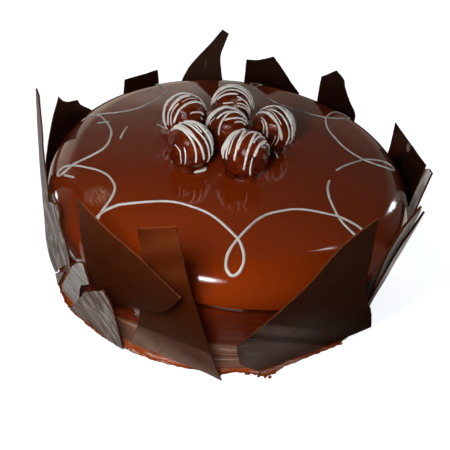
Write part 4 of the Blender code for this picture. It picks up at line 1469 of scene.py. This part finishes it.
def build_sheet(name, sheet, settings, finishes, edge):
    """Build one sheet: two skins, a worn broken edge between them, and a UV map in its plane."""
    seed = 3.0 + (sheet.azimuth * 0.37 + sheet.distance) % 17
    finish = SHEET_FINISH.get(name, "dark")
    # The pale sheets at the left are broken more unevenly.
    rough = 0.35 if finish.startswith("left") else 0.18
    half = (settings.thinner if finish in THINNER else settings.thickness) / MM / 2
    worn = settings.worn / MM
    grid = settings.grid / MM
    outline = sheet_outline(sheet, rough, seed)
    count = len(outline)
    skin = [spot - out * worn for spot, out in outline]
    flat = list(skin)
    rows = int((sheet.tall[1] - sheet.tall[0]) / grid) + 1
    columns = int((sheet.wide[1] - sheet.wide[0]) / grid) + 1
    for row in range(rows):
        for column in range(columns):
            spot = Vector((sheet.wide[0] + (column + 0.5 * (row % 2)) * grid,
                           sheet.tall[0] + row * grid))
            if inside(spot, skin):
                flat.append(spot)
    made = geometry.delaunay_2d_cdt(flat, [], [tuple(range(count))], 1, 1e-5)
    triangles = [t for t in made[2] if len(t) == 3]
    places = [Vector(p) for p in made[0]]
    if len(places) != len(flat):
        raise RuntimeError(name + ": the outline crosses itself")
    warp = settings.warp / MM
    points = []
    uvs = []

    def put(spot, off):
        """Add the point of the bent sheet over a spot of its plane, off its middle."""
        bend = warp * (grain((spot.x, spot.y, 0), 34.0, seed) + 0.3 * grain(
            (spot.x, spot.y, 0), 12.0, seed))
        points.append(sheet.place(spot.x, spot.y, off + bend))
        uvs.append((spot.x / UV_UNIT, spot.y / UV_UNIT))

    for spot in places:
        put(spot, half)
    for off in (0.45 * half, -0.45 * half):
        for spot, out in outline:
            fray = 0.12 * grain((spot.x * 3, spot.y * 3, off * 9), 3.0, seed + 1)
            put(spot + out * fray, off)
    for spot in places:
        put(spot, -half)
    total = len(places)
    faces = [tuple(t) for t in triangles]
    slots = [0] * len(faces)
    first = total
    second = total + count
    back = total + 2 * count
    for i in range(count):
        j = (i + 1) % count
        faces += [(j, i, first + i, first + j), (first + j, first + i, second + i, second + j),
                  (second + j, second + i, back + i, back + j)]
        slots += [1, 1, 1]
    faces += [tuple(back + k for k in reversed(t)) for t in triangles]
    slots += [0] * len(triangles)
    made = new_object(name.replace("shard", "sheet"), points, faces, [finishes[finish], edge],
                      slots, uvs)
    bm = bmesh.new()
    bm.from_mesh(made.data)
    bmesh.ops.recalc_face_normals(bm, faces=bm.faces)
    bm.to_mesh(made.data)
    bm.free()
    made.data.set_sharp_from_angle(angle=math.radians(35))
    finish_piece(made, "shard", name)


class CAKE_OT_sheets(bpy.types.Operator):
    """Make the broken chocolate sheets round the cake."""

    bl_idname = "cake.sheets"
    bl_label = "Broken Sheets"

    def execute(self, context):
        """Build every sheet in the plane of its node."""
        settings = context.scene.cake_sheets
        edge = broken_edge(settings.edge)
        finishes = {key: sheet_finish(key) for key in FINISHES}
        for name, sheet in SHEETS.items():
            build_sheet(name, sheet, settings, finishes, edge)
        return {"FINISHED"}


class CAKE_OT_stage(bpy.types.Operator):
    """Make the pale floor, the lights and the camera."""

    bl_idname = "cake.stage"
    bl_label = "Stage"

    def execute(self, context):
        """Place the stage round the cake."""
        settings = context.scene.cake_stage
        scene = context.scene
        scene.view_settings.view_transform = "Standard"
        self.floor(settings)
        self.world(scene)
        # A light that shows in the gloss has a bright middle and dimmer rings round it, each a
        # light of its own: share of the size and of the power.
        for name, (place, aim, size, part) in GLOSS_LIGHTS.items():
            radiance = part * settings.key
            ahead = (Vector(aim) - Vector(place)).normalized()
            for step, share in ((1.0, 0.06), (0.75, 0.12), (0.5, 0.3), (0.3, 0.52)):
                across, up = size[0] * step, size[1] * step
                power = radiance * share * math.pi * math.pi / 4 * across * up * MM * MM
                self.light(name, Vector(place) + ahead * 4 * (1 - step), Vector(aim), (across, up),
                           power, matt=False)
        for name, (place, aim, size, power) in MATT_LIGHTS.items():
            self.light(name, Vector(place), Vector(aim), size, power, gloss=False)
        data = bpy.data.cameras.new("camera")
        data.sensor_width = 36.0
        data.lens = settings.lens
        data.clip_start = 0.01
        camera = bpy.data.objects.new("camera", data)
        scene.collection.objects.link(camera)
        pitch = math.radians(CAMERA_PITCH)
        roll = math.radians(CAMERA_ROLL)
        ahead = Vector((0.0, math.cos(pitch), -math.sin(pitch)))
        right = Vector((1.0, 0.0, 0.0))
        up = right.cross(ahead)
        camera_x = right * math.cos(roll) + up * math.sin(roll)
        camera_y = up * math.cos(roll) - right * math.sin(roll)
        turn = Matrix((camera_x, camera_y, -ahead)).transposed()
        camera.matrix_world = Matrix.Translation(Vector(CAMERA_AT) * MM) @ turn.to_4x4()
        scene.camera = camera
        return {"FINISHED"}

    def floor(self, settings):
        """Lay a plain pale floor: painted, matt, lit evenly."""
        made, tree, shader = new_material("studio_floor_painted", settings.floor, 0.9, specular=0.1)
        tone = add(tree, "ShaderNodeTexNoise", {
            "Vector": object_place(tree), "Scale": 1.5, "Detail": 2.0})
        shade = remap(tree, tone.outputs["Fac"], 0.3, 0.7, 0.0, 0.06)
        colour = blend(tree, shade, settings.floor, darker(settings.floor, 0.9))
        fill(tree, shader, {"Base Color": colour, "Emission Color": (0.95, 0.975, 1.0, 1.0),
                            "Emission Strength": 0.88})
        points = [turned(radius, 360.0 * k / STAGE_SEGMENTS, z)
                  for radius, z in FLOOR_PROFILE for k in range(STAGE_SEGMENTS)]
        faces = ring_faces(len(FLOOR_PROFILE), STAGE_SEGMENTS, close_first=True)
        floor = new_object("studio_floor", points, [tuple(reversed(face)) for face in faces], [made])
        floor.visible_glossy = False
        floor.visible_diffuse = False
        self.card(settings)

    def card(self, settings):
        """Lay the floor as only the gloss of the pieces sees it: lit near the cake and aside."""
        made, tree, shader = new_material("bounce_card_matt", (0, 0, 0), 0.9, specular=0.0)
        place = object_place(tree)
        flat = add(tree, "ShaderNodeVectorMath", {0: place}, operation="NORMALIZE")
        far = add(tree, "ShaderNodeVectorMath", {0: place}, operation="LENGTH").outputs["Value"]
        total = remap(tree, far, settings.bounce_radius + 4 * MM, settings.bounce_radius - 4 * MM)
        for azimuth, half, soft, share in BOUNCE_PARTS:
            toward = add(tree, "ShaderNodeVectorMath", {
                0: flat.outputs[0], 1: turned(1, azimuth, 0)}, operation="DOT_PRODUCT")
            lit = remap(tree, toward.outputs["Value"], math.cos(math.radians(half + soft)),
                        math.cos(math.radians(half - soft)), 0.0, share, smooth=True)
            # The brightest part bounds the lit floor, and the others come on top of it.
            total = maths(tree, "MULTIPLY" if share == 1.0 else "MAXIMUM", total, lit)
        # Right by the cake the card is dimmed: a painted contact shadow in the reflections.
        shaded = remap(tree, far, 107 * MM, 115 * MM, 0.0, settings.bounce, smooth=True)
        fill(tree, shader, {"Emission Color": (1.0, 0.9, 0.82, 1.0),
                            "Emission Strength": maths(tree, "MULTIPLY", total, shaded)})
        rings = [turned(radius, 360.0 * k / STAGE_SEGMENTS, -0.04)
                 for radius in (60, 330) for k in range(STAGE_SEGMENTS)]
        card = new_object("bounce_card", rings, ring_faces(2, STAGE_SEGMENTS), [made])
        card.visible_camera = False
        card.visible_diffuse = False
        card.visible_shadow = False
        return card

    def world(self, scene):
        """Light the room softly: a pale back wall, dim elsewhere and overhead."""
        world = bpy.data.worlds.new("studio")
        world.use_nodes = True
        tree = world.node_tree
        place = add(tree, "ShaderNodeTexCoord").outputs["Generated"]
        split = add(tree, "ShaderNodeSeparateXYZ", {0: place}).outputs
        wall = remap(tree, split["Z"], 0.38, 0.50, 0.55, 0.0, smooth=True)
        glow = remap(tree, split["Z"], 0.44, 0.62, 0.25, 0.0, smooth=True)
        behind = remap(tree, split["Y"], 0.2, 0.75, 0.12, 1.0, smooth=True)
        down = remap(tree, split["Z"], -0.05, 0.02, 0.05, 1.0)
        rightward = remap(tree, split["X"], -0.15, 0.12, 1.0, 0.23, smooth=True)
        both = maths(tree, "ADD", wall, glow)
        sided = maths(tree, "MULTIPLY_ADD", both, rightward, 0.06)
        lit = maths(tree, "MULTIPLY", maths(tree, "MULTIPLY", sided, behind), down)
        fill(tree, tree.nodes["Background"], {"Color": (1.0, 0.88, 0.74, 1.0),
                                              "Strength": maths(tree, "ADD", lit, 0.005)})
        world.cycles_visibility.diffuse = False
        scene.world = world

    def light(self, name, place, aim, size, power, gloss=True, matt=True):
        """Place one soft light in millimetres and watts, aimed at a point."""
        data = bpy.data.lights.new(name, "AREA")
        data.shape = "ELLIPSE"
        data.size = size[0] * MM
        data.size_y = size[1] * MM
        data.energy = power
        made = bpy.data.objects.new(name, data)
        bpy.context.scene.collection.objects.link(made)
        turn = (aim - place).to_track_quat("-Z", "Y")
        made.matrix_world = Matrix.Translation(place * MM) @ turn.to_matrix().to_4x4()
        made.visible_camera = False
        made.visible_glossy = gloss
        made.visible_diffuse = matt


class CAKE_PT_panel(bpy.types.Panel):
    """Buttons and settings of the cake."""

    bl_label = "Truffle Cake"
    bl_idname = "CAKE_PT_panel"
    bl_space_type = "VIEW_3D"
    bl_region_type = "UI"
    bl_category = "Truffle Cake"

    def draw(self, context):
        """List the settings and the pieces."""
        for group, operators in PIECES:
            box = self.layout.box()
            settings = getattr(context.scene, group)
            for key in settings.__annotations__:
                box.prop(settings, key)
            for operator in operators:
                box.operator(operator.bl_idname)


PIECES = [("cake_side", [CAKE_OT_side, CAKE_OT_foot]), ("cake_glaze", [CAKE_OT_glaze]),
          ("cake_scroll", [CAKE_OT_scroll]), ("cake_truffles", [CAKE_OT_truffles, CAKE_OT_drizzle]),
          ("cake_sheets", [CAKE_OT_sheets]), ("cake_stage", [CAKE_OT_stage])]
GROUPS = {"cake_side": SideSettings, "cake_glaze": GlazeSettings, "cake_scroll": ScrollSettings,
          "cake_truffles": TruffleSettings, "cake_sheets": SheetSettings,
          "cake_stage": StageSettings}
OPERATORS = [operator for group, operators in PIECES for operator in operators]


def register():
    """Register the settings, the operators and the panel."""
    for name, group in GROUPS.items():
        bpy.utils.register_class(group)
        setattr(bpy.types.Scene, name, bpy.props.PointerProperty(type=group))
    for item in OPERATORS + [CAKE_PT_panel]:
        bpy.utils.register_class(item)


def unregister():
    """Remove what register added."""
    for item in reversed(OPERATORS + [CAKE_PT_panel]):
        bpy.utils.unregister_class(item)
    for name, group in GROUPS.items():
        delattr(bpy.types.Scene, name)
        bpy.utils.unregister_class(group)


def main():
    """Make every piece in order."""
    register()
    for operator in OPERATORS:
        category, name = operator.bl_idname.split(".")
        getattr(getattr(bpy.ops, category), name)()
    bpy.context.view_layer.update()


if __name__ == "__main__":
    main()
